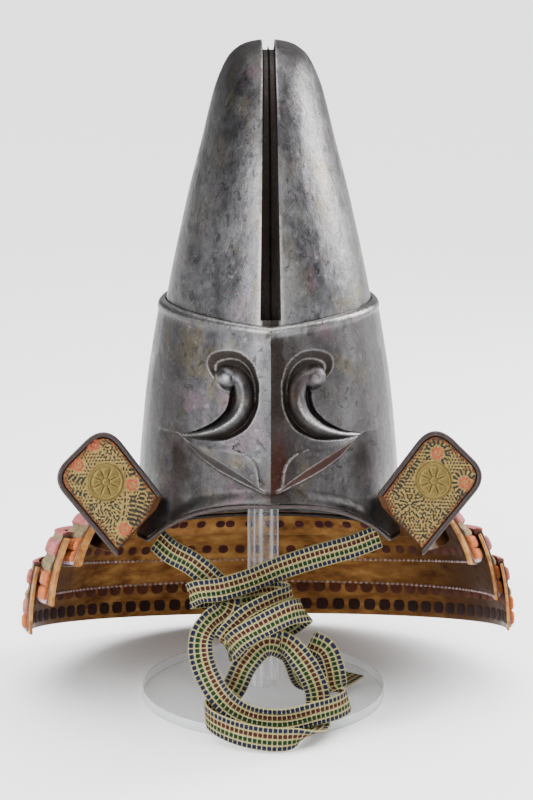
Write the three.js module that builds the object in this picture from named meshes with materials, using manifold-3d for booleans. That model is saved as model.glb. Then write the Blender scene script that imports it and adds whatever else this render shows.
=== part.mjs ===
// Samurai helmet on a clear display stand. Millimetres, +Z up. The helmet faces -Y and the origin is the
// centre of the stand's underside. Helmet tables are measured from the helmet's own middle plane.
import * as THREE from "three";
import { mergeVertices } from "three/addons/utils/BufferGeometryUtils.js";
import Module from "manifold-3d";

const wasm = await Module();
wasm.setup();

// Driving dimensions
const gap = 0.3; // clearance between neighbouring pieces
const helmetX = 5; // the helmet sits a little to one side of its post
const columns = 44; // facets round the bowl, shared by crown, band and neck guard
const capWall = 2.5;
const bandWall = 3;
const lipInset = 5.1; // thickness of the band's rolled upper edge
const grooveDepth = 12;
const grooveStart = 366; // height of its lower end
const grooveHalfBottom = 8.5; // half its width below
const grooveHalfTop = 5.2; // half its width above
const grooveRidge = 3.5; // height of the ridge on its floor
const rimRadius = 2.2;
const lameThickness = 2.4;
const lacingThickness = 4.5;
const lacingEnd = 0.45; // columns of bare plate at each front end
const wingThickness = 2.4;
const wingSweep = 0.118; // how far a wing goes back for each millimetre outwards
const wingLean = 0.3; // how far a wing leans back for each millimetre up
const wingPlace = { x: 95, y: -62, z: 203 }; // a point of its plane
const cordWidth = 21.5;
const cordThickness = 2.4;
const baseRadius = 110;
const baseHeight = 9;
const postRadius = 14;
const plateHeight = 8;
const plateBottom = 407;
const plateRadius = 74.8;
const plateY = 10;

// Horizontal sections of the crown. Each is pointed in front and round behind. "mid" is where it is widest,
// "m" and "q" shape the pointed front.
const capRows = [
  { z: 350, side: 89.8, front: -113.1, back: 115.6, mid: 5, m: 1.25, q: 0.62 },
  { z: 362, side: 89.4, front: -113.1, back: 115.6, mid: 5, m: 1.25, q: 0.62 },
  { z: 395, side: 83, front: -107, back: 115, mid: 8, m: 1.3, q: 0.61 },
  { z: 430, side: 75.3, front: -99, back: 113, mid: 12, m: 1.35, q: 0.6 },
  { z: 464, side: 67.3, front: -89, back: 109, mid: 16, m: 1.42, q: 0.59 },
  { z: 499, side: 58, front: -76, back: 104, mid: 20, m: 1.5, q: 0.58 },
  { z: 533, side: 49.6, front: -58, back: 96, mid: 25, m: 1.6, q: 0.56 },
  { z: 550, side: 44.4, front: -46, back: 90, mid: 27, m: 1.65, q: 0.55 },
  { z: 567, side: 36.6, front: -28, back: 78, mid: 30, m: 1.7, q: 0.54 },
  { z: 576, side: 29, front: -12, back: 67, mid: 32, m: 1.7, q: 0.54 },
  { z: 582, side: 18, front: 6, back: 52, mid: 33, m: 1.7, q: 0.54 },
];
const capTop = 584.5;
const capTopY = 33;

// Horizontal sections of the brow band.
const bandRows = [
  { z: 135, side: 118.5, front: -124, back: 126, mid: 5, m: 1.4, q: 0.57 },
  { z: 222, side: 114, front: -124, back: 126, mid: 5, m: 1.35, q: 0.58 },
  { z: 254, side: 111, front: -123.5, back: 125.7, mid: 5, m: 1.32, q: 0.59 },
  { z: 290, side: 107, front: -122.5, back: 125, mid: 5, m: 1.3, q: 0.6 },
  { z: 326, side: 101.3, front: -121, back: 123.5, mid: 5, m: 1.28, q: 0.61 },
  { z: 344, side: 98.2, front: -119.8, back: 122.3, mid: 5, m: 1.26, q: 0.62 },
  { z: 362, side: 94.8, front: -118.5, back: 121, mid: 5, m: 1.25, q: 0.62 },
];
const seamSlope = 0.0225; // the seam rises towards the back

// A column's place: turn is 0 in front, a quarter turn at the helmet's left side, half a turn behind.
function sectionPoint(row, turn, z, out = 0) {
  const s = Math.abs(Math.sin(turn));
  const c = Math.cos(turn);
  const front = row.front - out;
  const y =
    c > 0
      ? row.mid - (row.mid - front) * Math.pow(Math.max(0, 1 - Math.pow(s, row.m)), row.q)
      : row.mid + (row.back + out - row.mid) * -c;
  return new THREE.Vector3((row.side + out) * Math.sin(turn), y, z);
}

// The section at any height, between two rows of a table.
function rowAt(rows, z) {
  const last = rows.length - 1;
  if (z <= rows[0].z) return rows[0];
  if (z >= rows[last].z) return rows[last];
  const i = rows.findIndex((row) => row.z > z);
  const t = (z - rows[i - 1].z) / (rows[i].z - rows[i - 1].z);
  const mix = {};
  for (const key of Object.keys(rows[0])) {
    mix[key] = THREE.MathUtils.lerp(rows[i - 1][key], rows[i][key], t);
  }
  return mix;
}

// Turns a geometry so that its faces point out.
function facingOut(geometry) {
  const bare = new THREE.BufferGeometry().copy(geometry);
  bare.deleteAttribute("normal").deleteAttribute("uv");
  const g = mergeVertices(bare, 1e-4);
  const p = g.getAttribute("position");
  const index = g.index.array;
  const a = new THREE.Vector3();
  const b = new THREE.Vector3();
  const c = new THREE.Vector3();
  let volume = 0;
  for (let i = 0; i < index.length; i += 3) {
    a.fromBufferAttribute(p, index[i]);
    b.fromBufferAttribute(p, index[i + 1]);
    c.fromBufferAttribute(p, index[i + 2]);
    volume += a.dot(b.cross(c));
  }
  if (volume < 0) {
    for (let i = 0; i < index.length; i += 3) {
      const swap = index[i];
      index[i] = index[i + 1];
      index[i + 1] = swap;
    }
  }
  return g;
}

// A closed body through rings of equal point counts. "fan" closes each end round its middle, "strip" joins
// a ring's first half to its second half, and "loop" joins the last ring to the first.
function loft(rings, ends = "fan") {
  const n = rings[0].length;
  const points = rings.flat().map((p) => p.clone());
  const faces = [];
  const spans = ends === "loop" ? rings.length : rings.length - 1;
  for (let i = 0; i < spans; i++) {
    const next = ((i + 1) % rings.length) * n;
    for (let j = 0; j < n; j++) {
      const a = i * n + j;
      const b = i * n + ((j + 1) % n);
      const c = next + j;
      const d = next + ((j + 1) % n);
      faces.push(a, b, d, a, d, c);
    }
  }
  const close = (start, turned) => {
    const add = (a, b, c) => faces.push(start + (turned ? b : a), start + (turned ? a : b), start + c);
    if (ends === "strip") {
      for (let j = 0; j < n / 2 - 1; j++) {
        add(j, j + 1, n - 2 - j);
        if (n - 2 - j !== j + 1) add(j, n - 2 - j, n - 1 - j);
      }
      return;
    }
    const middle = new THREE.Vector3();
    for (let j = 0; j < n; j++) middle.addScaledVector(points[start + j], 1 / n);
    points.push(middle);
    for (let j = 0; j < n; j++) add(j, (j + 1) % n, points.length - 1 - start);
  };
  if (ends !== "loop") {
    close(0, true);
    close((rings.length - 1) * n, false);
  }
  const flat = points.flatMap((p) => [p.x, p.y, p.z]);
  const body = new THREE.BufferGeometry();
  body.setAttribute("position", new THREE.Float32BufferAttribute(flat, 3)).setIndex(faces);
  return facingOut(body);
}

function toSolid(geometry) {
  const g = facingOut(geometry);
  return new wasm.Manifold(
    new wasm.Mesh({
      numProp: 3,
      vertProperties: g.getAttribute("position").array,
      triVerts: new Uint32Array(g.index.array),
    }),
  );
}

function toGeometry(solid) {
  const m = solid.getMesh();
  const flat = [];
  for (let i = 0; i < m.numVert; i++) {
    const start = i * m.numProp;
    flat.push(...m.vertProperties.subarray(start, start + 3));
  }
  return new THREE.BufferGeometry()
    .setAttribute("position", new THREE.Float32BufferAttribute(flat, 3))
    .setIndex([...m.triVerts]);
}

const helmet = new THREE.Group();
helmet.position.x = helmetX;
const stand = new THREE.Group();

function add(group, name, geometry, color, roughness = 0.6, metalness = 0) {
  const material = new THREE.MeshStandardMaterial({ color, roughness, metalness, flatShading: true });
  const mesh = new THREE.Mesh(geometry, material);
  mesh.name = name;
  group.add(mesh);
}

const turns = Array.from({ length: columns }, (_, i) => (2 * Math.PI * i) / columns);

// Crown: an outer and an inner skin, each with the central groove taken out of it.
function capSkin(inset) {
  const rows = capRows.map((row) => {
    const drop = inset * THREE.MathUtils.clamp((row.z - 500) / 70, 0, 1);
    return turns.map((turn) => {
      const p = sectionPoint(row, turn, row.z - drop, -inset);
      if (row.z < 370) p.z += seamSlope * p.y;
      return p;
    });
  });
  if (inset > 0) rows.unshift(turns.map((turn) => sectionPoint(capRows[0], turn, 340, -inset)));
  rows.push(turns.map(() => new THREE.Vector3(0, capTopY, capTop - inset)));
  return toSolid(loft(rows));
}

// The groove runs up the front, over the top and down the back, and narrows on the way up. A low ridge
// runs along its floor.
function grooveCutter(start, wider, deeper, ridge) {
  const front = [{ y: rowAt(capRows, start).front, z: start }];
  for (const row of capRows.slice(2)) front.push({ y: row.front, z: row.z });
  const back = [{ y: rowAt(capRows, start).back, z: start }];
  for (const row of capRows.slice(2)) back.push({ y: row.back, z: row.z });
  const path = [...front, { y: capTopY, z: capTop }, ...back.reverse()];
  const rings = path.map((p, i) => {
    const before = path[Math.max(0, i - 1)];
    const after = path[Math.min(path.length - 1, i + 1)];
    const along = new THREE.Vector2(after.y - before.y, after.z - before.z).normalize();
    const out = new THREE.Vector2(-along.y, along.x);
    const rise = THREE.MathUtils.clamp((p.z - grooveStart) / 210, 0, 1);
    const w = THREE.MathUtils.lerp(grooveHalfBottom, grooveHalfTop, rise) + wider;
    const d = (grooveDepth + deeper) * THREE.MathUtils.lerp(1, 0.75, rise);
    const at = (x, h) => new THREE.Vector3(x, p.y + out.x * h, p.z + out.y * h);
    const floor = [at(-w, -d), at(-0.8, -d), at(0, ridge - d), at(0.8, -d), at(w, -d)];
    return [at(w, 14), at(-w, 14), ...floor];
  });
  return toSolid(loft(rings));
}
const outerCap = capSkin(0).subtract(grooveCutter(grooveStart, 0, 0, grooveRidge));
const innerCap = capSkin(capWall).subtract(grooveCutter(grooveStart - capWall, capWall, capWall, 0.5));
add(helmet, "cap", toGeometry(outerCap.subtract(innerCap)), 0x7d7d80, 0.35, 0.8);

// Brow band: a ring of upright sections, from the arched lower edge to the rolled lip at the seam.
function rimHeight(turn) {
  const degrees = Math.abs(THREE.MathUtils.radToDeg(turn > Math.PI ? turn - 2 * Math.PI : turn));
  const arch = degrees < 66 ? 42 * Math.pow(1 - Math.pow(degrees / 66, 2.2), 1.2) : 0;
  const y = sectionPoint(bandRows[0], turn, 0).y;
  return 159 - 0.145 * (y + 40) + arch;
}
function onBandColumn(turn, z, out) {
  const p = sectionPoint(rowAt(bandRows, z), turn, z, out);
  p.z += seamSlope * p.y * THREE.MathUtils.clamp((z - 290) / 50, 0, 1);
  return p;
}
const lipRows = [
  { z: 344, out: 0 },
  { z: 354, out: 0 },
  { z: 356.5, out: 1.4 },
  { z: 359.5, out: 2.2 },
  { z: 362, out: 1.2 },
  { z: 362, out: -lipInset },
  { z: 352, out: -lipInset },
  { z: 340, out: -bandWall },
  { z: 290, out: -bandWall },
];
const bandSections = turns.map((turn) => {
  const low = rimHeight(turn);
  const low3 = THREE.MathUtils.lerp(low, 290, 0.33);
  const low6 = THREE.MathUtils.lerp(low, 290, 0.66);
  return [
    onBandColumn(turn, low, 0),
    onBandColumn(turn, low3, 0),
    onBandColumn(turn, low6, 0),
    onBandColumn(turn, 290, 0),
    onBandColumn(turn, 326, 0),
    ...lipRows.map((row) => onBandColumn(turn, row.z, row.out)),
    onBandColumn(turn, low6, -bandWall),
    onBandColumn(turn, low, -bandWall),
  ];
});
let band = toSolid(loft(bandSections, "loop"));

// A point on the front of the band, lifted off it.
function onBand(x, z, lift) {
  const at = (px, pz) => {
    const row = rowAt(bandRows, pz);
    const s = Math.min(Math.abs(px) / row.side, 0.999);
    const y = row.mid - (row.mid - row.front) * Math.pow(1 - Math.pow(s, row.m), row.q);
    return new THREE.Vector3(px, y, pz);
  };
  const across = at(x + 1, z).sub(at(x - 1, z));
  const up = at(x, z + 1).sub(at(x, z - 1));
  const normal = across.cross(up).normalize();
  return at(x, z).addScaledVector(normal, lift);
}

// Raised scrolls of the brow: a crest line from the curl's eye, over the top and down to the outer tip.
const scrollRows = [
  { x: 39, z: 309, half: 2.5, lift: 2 },
  { x: 35, z: 318, half: 5, lift: 3 },
  { x: 42, z: 323, half: 6, lift: 3.5 },
  { x: 41, z: 331, half: 6, lift: 3.5 },
  { x: 30, z: 332, half: 6.5, lift: 4 },
  { x: 22, z: 321, half: 7, lift: 4.2 },
  { x: 20, z: 306, half: 7.5, lift: 4.2 },
  { x: 22, z: 291, half: 8, lift: 4 },
  { x: 30, z: 277, half: 7.5, lift: 3.6 },
  { x: 44, z: 268, half: 5, lift: 3 },
  { x: 60, z: 262, half: 2.5, lift: 2 },
  { x: 72, z: 259, half: 0.8, lift: 1 },
];
function scroll(side) {
  const rings = scrollRows.map((row, i) => {
    const before = scrollRows[Math.max(0, i - 1)];
    const after = scrollRows[Math.min(scrollRows.length - 1, i + 1)];
    const along = new THREE.Vector2(after.x - before.x, after.z - before.z).normalize();
    const at = (across, lift) => {
      const x = row.x - along.y * across;
      return onBand(side * x, row.z + along.x * across, lift);
    };
    const h = row.half;
    return [at(-h, -2), at(-h, 0.6), at(0, row.lift), at(h, 0.6), at(h, -2)];
  });
  return toSolid(loft(rings));
}
// Raised leaves under the scrolls.
const leafRows = [
  { x: 9, low: 222, high: 243 },
  { x: 16, low: 225, high: 253 },
  { x: 30, low: 230, high: 256 },
  { x: 45, low: 235, high: 254.5 },
  { x: 60, low: 242, high: 254 },
  { x: 73, low: 252, high: 254 },
];
function leaf(side) {
  const rings = leafRows.map((row) => [
    onBand(side * row.x, row.low, -2),
    onBand(side * row.x, row.low, 2.4),
    onBand(side * row.x, (row.low + row.high) / 2, 2.4),
    onBand(side * row.x, row.high, 0.6),
    onBand(side * row.x, row.high, -2),
  ]);
  return toSolid(loft(rings));
}
for (const side of [-1, 1]) band = band.add(scroll(side)).add(leaf(side));
add(helmet, "brow_band", toGeometry(band), 0x77777b, 0.35, 0.8);

// Rolled edge round the opening for the head, just under the band.
const rimRings = turns.map((turn) => {
  const at = (t) => {
    const low = rimHeight(t);
    return sectionPoint(rowAt(bandRows, low), t, low, -bandWall / 2);
  };
  const step = Math.PI / columns;
  const round = 2 * Math.PI;
  const along = at((turn + step) % round);
  along.sub(at((turn - step + round) % round)).normalize();
  const out = new THREE.Vector3(along.y, -along.x, 0).normalize();
  const up = new THREE.Vector3().crossVectors(out, along).normalize();
  if (up.z < 0) up.negate();
  const centre = at(turn).addScaledVector(up, -rimRadius - gap - 0.2);
  return Array.from({ length: 6 }, (_, k) =>
    centre
      .clone()
      .addScaledVector(out, rimRadius * Math.cos((Math.PI * k) / 3 + Math.PI / 6))
      .addScaledVector(up, rimRadius * Math.sin((Math.PI * k) / 3 + Math.PI / 6)),
  );
});
add(helmet, "brow_rim", loft(rimRings, "loop"), 0x4a3038, 0.3, 0.4);

// Plates of the neck guard. Each edge is round behind, and m and q shape its front as on the bowl. Its
// height is z where y is 0, and it falls backwards by "fall" and "fallFront". "left" and "right" are the
// columns that the plate runs to, counted from the back.
const lames = {
  lame_1: {
    top: {
      side: 118.8, back: 128.7, front: -126.7, mid: 5, m: 1.38, q: 0.58,
      z: 185.4, fall: 0.278, fallFront: 0.278,
    },
    bottom: {
      side: 162, back: 142, front: -141, mid: 5, m: 2, q: 0.5,
      z: 145.2, fall: 0.276, fallFront: 0.16,
    },
    bulge: 7,
    left: 15,
    right: 15,
  },
  lame_2: {
    top: {
      side: 163, back: 152, front: -134, mid: 8, m: 2, q: 0.5,
      z: 172, fall: 0.293, fallFront: 0.293,
    },
    bottom: {
      side: 190, back: 163, front: -134, mid: 8, m: 2, q: 0.5,
      z: 122, fall: 0.293, fallFront: 0.293,
    },
    bulge: 3.5,
    left: 14.7,
    right: 13.7,
  },
  lame_3: {
    top: {
      side: 190, back: 169, front: -162, mid: 10, m: 2, q: 0.5,
      z: 150.9, fall: 0.235, fallFront: 0.235,
    },
    bottom: {
      side: 207, back: 177, front: -162, mid: 10, m: 2, q: 0.5,
      z: 88.9, fall: 0.235, fallFront: 0.235,
    },
    bulge: 3,
    left: 13.9,
    right: 12.2,
  },
  lame_4: {
    top: {
      side: 210, back: 185, front: -180, mid: 10, m: 2, q: 0.5,
      z: 122.4, fall: 0.26, fallFront: 0.26,
    },
    bottom: {
      side: 218, back: 191, front: -180, mid: 10, m: 2, q: 0.5,
      z: 59.4, fall: 0.26, fallFront: 0.26,
    },
    bulge: 2,
    left: 12.7,
    right: 12,
  },
};
function edgePoint(edge, column) {
  const turn = Math.PI - (2 * Math.PI * column) / columns;
  const p = sectionPoint(edge, turn, 0);
  p.z = edge.z - (p.y > 0 ? edge.fall : edge.fallFront) * p.y;
  return p;
}
// A point on the outer face of a plate: column from the back (negative to the helmet's right), down 0 to 1.
function lamePoint(lame, column, down) {
  const p = edgePoint(lame.top, column).lerp(edgePoint(lame.bottom, column), down);
  const out = new THREE.Vector3(p.x, p.y - lame.top.mid, 0).normalize();
  return p.addScaledVector(out, lame.bulge * 4 * down * (1 - down));
}
function lamePointLifted(lame, column, down, lift) {
  const across = lamePoint(lame, column + 0.2, down).sub(lamePoint(lame, column - 0.2, down));
  const along = lamePoint(lame, column, down + 0.05).sub(lamePoint(lame, column, down - 0.05));
  const normal = across.cross(along).normalize();
  const p = lamePoint(lame, column, down);
  if (normal.x * p.x + normal.y * (p.y - lame.top.mid) < 0) normal.negate();
  return p.addScaledVector(normal, lift);
}
// Column stops from one front end, round the back, to the other. The lacing stops short of the plate's ends.
function lacingStops(lame) {
  const first = -lame.left + lacingEnd;
  const last = lame.right - lacingEnd;
  const list = [first];
  for (let c = Math.ceil(first + 0.1); c <= last - 0.1; c++) list.push(c);
  list.push(last);
  return list;
}

// Wings: the front ends of the top plate, turned back. Their plane is fixed by this rule.
const wingNormal = (side) => new THREE.Vector3(-wingSweep * side, -1, wingLean).normalize();
const wingY = (x, z) => wingPlace.y - wingSweep * (x - wingPlace.x) + wingLean * (z - wingPlace.z);
function wingMatrix(side) {
  const across = new THREE.Vector3(1, -wingSweep * side, 0);
  const up = new THREE.Vector3(0, wingLean, 1);
  const origin = new THREE.Vector3(0, wingY(0, 0), 0);
  return new THREE.Matrix4().makeBasis(across, up, wingNormal(side)).setPosition(origin);
}
// Corners of a wing, x outwards and z up, with the radius of each corner. The last side is the fold.
const wingCorners = [
  { x: 97, z: 193, r: 3 },
  { x: 92, z: 203, r: 5 },
  { x: 141, z: 266, r: 22 },
  { x: 188, z: 222, r: 20 },
  { x: 133, z: 156.5, r: 3 },
];
// The outline with each side moved inwards: free sides by one distance, the fold by another.
function wingOutline(free, fold, side) {
  const n = wingCorners.length;
  const lines = wingCorners.map((a, i) => {
    const b = wingCorners[(i + 1) % n];
    const dir = new THREE.Vector2(b.x - a.x, b.z - a.z).normalize();
    const inward = new THREE.Vector2(dir.y, -dir.x);
    const d = i === n - 1 ? fold : free;
    return { p: new THREE.Vector2(a.x + inward.x * d, a.z + inward.y * d), dir };
  });
  const corners = wingCorners.map((corner, i) => {
    const before = lines[(i + n - 1) % n];
    const after = lines[i];
    const apart = after.p.clone().sub(before.p);
    const t = apart.cross(after.dir) / before.dir.cross(after.dir);
    return { at: before.p.clone().addScaledVector(before.dir, t), r: Math.max(1, corner.r - free) };
  });
  const points = [];
  corners.forEach(({ at, r }, i) => {
    const a = corners[(i + n - 1) % n].at.clone().sub(at).normalize();
    const b = corners[(i + 1) % n].at.clone().sub(at).normalize();
    const half = Math.acos(THREE.MathUtils.clamp(a.dot(b), -1, 1)) / 2;
    const reach = Math.min(r / Math.tan(half), 26);
    const start = at.clone().addScaledVector(a, reach);
    const end = at.clone().addScaledVector(b, reach);
    const steps = r > 8 ? 6 : 2;
    for (let k = 0; k <= steps; k++) {
      const t = k / steps;
      const p = start.clone().multiplyScalar((1 - t) * (1 - t));
      p.addScaledVector(at, 2 * t * (1 - t)).addScaledVector(end, t * t);
      points.push(new THREE.Vector2(side * p.x, p.y));
    }
  });
  return new THREE.Shape(points);
}
function wingSlab(side, free, fold, near, far) {
  const depth = far - near;
  const slab = new THREE.ExtrudeGeometry(wingOutline(free, fold, side), { depth, bevelEnabled: false });
  slab.translate(0, 0, near).applyMatrix4(wingMatrix(side));
  return toSolid(slab);
}

const lameColors = { lame_1: 0x6a4a2a, lame_2: 0x8a6634, lame_3: 0x8a6634, lame_4: 0x8a6634 };
for (const [name, lame] of Object.entries(lames)) {
  const rings = [-lame.left, ...lacingStops(lame), lame.right].map((c) => [
    lamePointLifted(lame, c, 0, 0),
    lamePointLifted(lame, c, 0.5, 0),
    lamePointLifted(lame, c, 1, 0),
    lamePointLifted(lame, c, 1, -lameThickness),
    lamePointLifted(lame, c, 0.5, -lameThickness),
    lamePointLifted(lame, c, 0, -lameThickness),
  ]);
  if (name !== "lame_1") {
    add(helmet, name, loft(rings, "strip"), lameColors[name], 0.45, 0.3);
    continue;
  }
  // The top plate runs on to the fold on both sides.
  const fold = (side) => {
    const n = wingNormal(side);
    const at = (x, z, back) => {
      const p = new THREE.Vector3(side * x, wingY(x, z), z);
      return p.addScaledVector(n, -back);
    };
    const inward = new THREE.Vector3(side * -0.75, 0, -0.6).multiplyScalar(lameThickness);
    const outer = [at(97.5, 197, 0), at(116, 178, 0), at(134.5, 160, 0)];
    return [...outer, ...outer.map((p) => p.clone().add(inward)).reverse()];
  };
  const whole = [fold(-1), ...rings, fold(1)];
  let solid = toSolid(loft(whole, "strip"));
  const half = wingThickness / 2;
  for (const side of [-1, 1]) solid = solid.add(wingSlab(side, 0, 0, -half, half));
  add(helmet, name, toGeometry(solid), lameColors[name], 0.45, 0.3);
}

// Lacing: a skin over each lower plate that wraps over its top edge and reaches in to the plate above.
function lacing(name, above, hasLacingAbove, reach) {
  const lame = lames[name];
  const upper = lames[above];
  const rings = lacingStops(lame).map((c) => {
    const out = gap + lacingThickness;
    const land = hasLacingAbove ? lacingThickness + 3 * gap : gap + 0.1;
    const overTop = (lift, rise) => {
      const p = lamePointLifted(lame, c, 0, lift);
      p.z += rise;
      return p;
    };
    return [
      lamePointLifted(lame, c, 0.93, out),
      lamePointLifted(lame, c, 0.5, out),
      lamePointLifted(lame, c, 0.06, out),
      overTop(out * 0.4, lacingThickness),
      lamePointLifted(upper, c, reach, land + 0.2),
      lamePointLifted(upper, c, reach + 0.1, land),
      overTop(-lameThickness - gap, gap),
      lamePointLifted(lame, c, -0.012, gap + 0.1),
      lamePointLifted(lame, c, 0.5, gap),
      lamePointLifted(lame, c, 0.93, gap),
    ];
  });
  add(helmet, name.replace("lame", "lacing"), loft(rings, "strip"), 0xc8705a, 0.85, 0);
}
lacing("lame_2", "lame_1", false, 0.5);
lacing("lame_3", "lame_2", true, 0.42);
lacing("lame_4", "lame_3", true, 0.42);

// Rims, leather and crests of the wings.
const wingRimWidth = 4;
const wingRimThickness = 3;
const leatherThickness = 1.2;
const crestPlace = { x: 140.5, z: 216 };
const crestProfile = [
  [0, 0],
  [15.2, 0],
  [15.2, 2.2],
  [13.8, 2.6],
  [12.8, 1.8],
  [6, 2.6],
  [0, 3],
];
for (const [label, side] of [
  ["left", 1],
  ["right", -1],
]) {
  const near = wingThickness / 2 + gap;
  const whole = wingSlab(side, 0, 0, near, near + wingRimThickness);
  const rim = whole.subtract(wingSlab(side, wingRimWidth, -8, near - 1, near + wingRimThickness + 1));
  add(helmet, "wing_rim_" + label, toGeometry(rim), 0x3a2620, 0.4, 0.3);
  const sheet = wingSlab(side, wingRimWidth + gap + 0.1, 1, near, near + leatherThickness);
  add(helmet, "leather_" + label, toGeometry(sheet), 0xcbb98a, 0.8, 0);
  const crest = new THREE.LatheGeometry(
    crestProfile.map(([r, h]) => new THREE.Vector2(r, h)),
    18,
  );
  const away = wingNormal(side);
  crest.applyQuaternion(new THREE.Quaternion().setFromUnitVectors(new THREE.Vector3(0, 1, 0), away));
  const place = new THREE.Vector3(side * crestPlace.x, crestPlace.z, 0).applyMatrix4(wingMatrix(side));
  place.addScaledVector(away, near + leatherThickness + gap);
  crest.translate(place.x, place.y, place.z);
  add(helmet, "crest_" + label, facingOut(crest), 0xa8893c, 0.4, 0.9);
}

// Flat braided chin cord in two strands that cross, knot and trail on the base. "w" is the lean of the
// cord's width in degrees, 0 level and 90 upright.
const strandFromLeft = [
  { x: 101, y: -36, z: 158.5, w: 104 },
  { x: 78, y: -41, z: 151, w: 104 },
  { x: 45, y: -46, z: 143, w: 105 },
  { x: 15, y: -51, z: 134.5, w: 106 },
  { x: -13, y: -58, z: 125, w: 108 },
  { x: -37, y: -62, z: 119, w: 103 },
  { x: -57, y: -58, z: 115, w: 102 },
  { x: -64, y: -47, z: 107, w: 102 },
  { x: -48, y: -38, z: 105, w: 90 },
  { x: -20, y: -37, z: 103, w: 92 },
  { x: 6, y: -45, z: 110.5, w: 104 },
  { x: 24, y: -62, z: 112.6, w: 100 },
  { x: 8, y: -77, z: 111, w: 98 },
  { x: -14, y: -84, z: 101, w: 116 },
  { x: -33, y: -80, z: 79, w: 137 },
  { x: -30, y: -67, z: 66, w: 112 },
  { x: -11, y: -57, z: 66, w: 93 },
  { x: 17.5, y: -57, z: 81.5, w: 118 },
  { x: 35, y: -70, z: 100.5, w: 123 },
  { x: 23, y: -89, z: 107, w: 115 },
  { x: -1, y: -97, z: 98, w: 112 },
  { x: -23, y: -93, z: 83, w: 122 },
  { x: -27, y: -81, z: 70, w: 105 },
  { x: -7, y: -71, z: 68, w: 90 },
  { x: 16, y: -79, z: 76.5, w: 100 },
  { x: 32, y: -88, z: 63, w: 50 },
  { x: 45, y: -90, z: 37, w: 27 },
  { x: 46, y: -97, z: 14, w: 4 },
  { x: 44, y: -114, z: 11, w: 0 },
  { x: 33, y: -134, z: 12, w: 30 },
  { x: 10, y: -142, z: 12.5, w: 80 },
  { x: -20, y: -136, z: 15, w: 92 },
  { x: -42, y: -122, z: 19, w: 95 },
  { x: -50, y: -106, z: 21, w: 94 },
  { x: -44, y: -92, z: 23, w: 104 },
  { x: -28, y: -84, z: 34, w: 140 },
  { x: -16, y: -83, z: 58, w: 168 },
  { x: 2, y: -81, z: 75, w: 104 },
  { x: 22, y: -74, z: 66, w: 42 },
  { x: 36, y: -56, z: 32, w: 18 },
  { x: 56, y: -24, z: 12.5, w: 0 },
  { x: 84, y: 14, z: 11, w: 0 },
];
const strandFromRight = [
  { x: -93, y: -33, z: 155, w: 54 },
  { x: -81, y: -42, z: 147, w: 54 },
  { x: -63, y: -47, z: 138, w: 57 },
  { x: -44.5, y: -50, z: 123, w: 51 },
  { x: -31, y: -53, z: 109, w: 25 },
  { x: -34, y: -61, z: 99, w: -30 },
  { x: -46, y: -70, z: 92, w: -44 },
  { x: -54, y: -80, z: 82, w: -17 },
  { x: -54.5, y: -88, z: 68, w: 8 },
  { x: -47, y: -98, z: 49, w: 27 },
  { x: -33, y: -108, z: 32, w: 51 },
  { x: -13, y: -115, z: 22, w: 75 },
  { x: 15, y: -119, z: 20, w: 92 },
  { x: 43, y: -116, z: 25, w: 99 },
  { x: 64.5, y: -104, z: 27, w: 97 },
  { x: 72, y: -90, z: 28, w: 102 },
  { x: 63, y: -80, z: 34, w: 150 },
  { x: 59, y: -76, z: 52, w: 192 },
  { x: 53, y: -74, z: 67, w: 217 },
  { x: 40, y: -69, z: 73, w: 240 },
];
function strap(rows, steps) {
  const line = new THREE.CatmullRomCurve3(
    rows.map((row) => new THREE.Vector3(row.x, row.y, row.z)),
    false,
    "centripetal",
  );
  const rings = [];
  for (let i = 0; i <= steps; i++) {
    const t = i / steps;
    const along = line.getTangent(t);
    const place = t * (rows.length - 1);
    const k = Math.min(Math.floor(place), rows.length - 2);
    const lean = THREE.MathUtils.degToRad(THREE.MathUtils.lerp(rows[k].w, rows[k + 1].w, place - k));
    const width = new THREE.Vector3(Math.cos(lean), 0, Math.sin(lean));
    width.addScaledVector(along, -width.dot(along)).normalize();
    const flat = new THREE.Vector3().crossVectors(along, width);
    const w = cordWidth / 2;
    const h = cordThickness / 2;
    const section = [
      [w, -h * 0.4],
      [w, h * 0.4],
      [w - 1, h],
      [1 - w, h],
      [-w, h * 0.4],
      [-w, -h * 0.4],
      [1 - w, -h],
      [w - 1, -h],
    ];
    const centre = line.getPoint(t);
    const at = ([a, b]) => centre.clone().addScaledVector(width, a).addScaledVector(flat, b);
    rings.push(section.map(at));
  }
  return loft(rings);
}
add(stand, "chin_cord_left", strap(strandFromLeft, 50), 0xb8ad84, 0.9, 0);
add(stand, "chin_cord_right", strap(strandFromRight, 28), 0xb8ad84, 0.9, 0);

// Display stand: disc, post and the round plate inside the crown.
function turned(profile, segments) {
  const body = new THREE.LatheGeometry(
    profile.map(([r, z]) => new THREE.Vector2(r, z)),
    segments,
  );
  return facingOut(body.rotateX(Math.PI / 2));
}
const base = [
  [0, 0],
  [baseRadius - 0.8, 0],
  [baseRadius, 0.8],
  [baseRadius, baseHeight - 0.8],
  [baseRadius - 0.8, baseHeight],
  [0, baseHeight],
];
add(stand, "stand_base", turned(base, 48), 0xdfe6e8, 0.1, 0);
const postTop = plateBottom - gap;
const post = [
  [0, baseHeight + gap],
  [postRadius, baseHeight + gap],
  [postRadius, postTop],
  [0, postTop],
];
add(stand, "stand_post", turned(post, 24), 0xdfe6e8, 0.1, 0);
const plate = [
  [0, plateBottom],
  [plateRadius, plateBottom],
  [plateRadius, plateBottom + plateHeight],
  [0, plateBottom + plateHeight],
];
add(stand, "stand_plate", turned(plate, 36).translate(helmetX, plateY, 0), 0xdfe6e8, 0.1, 0);

const part = new THREE.Group();
part.add(helmet, stand);
export default part;
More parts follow.
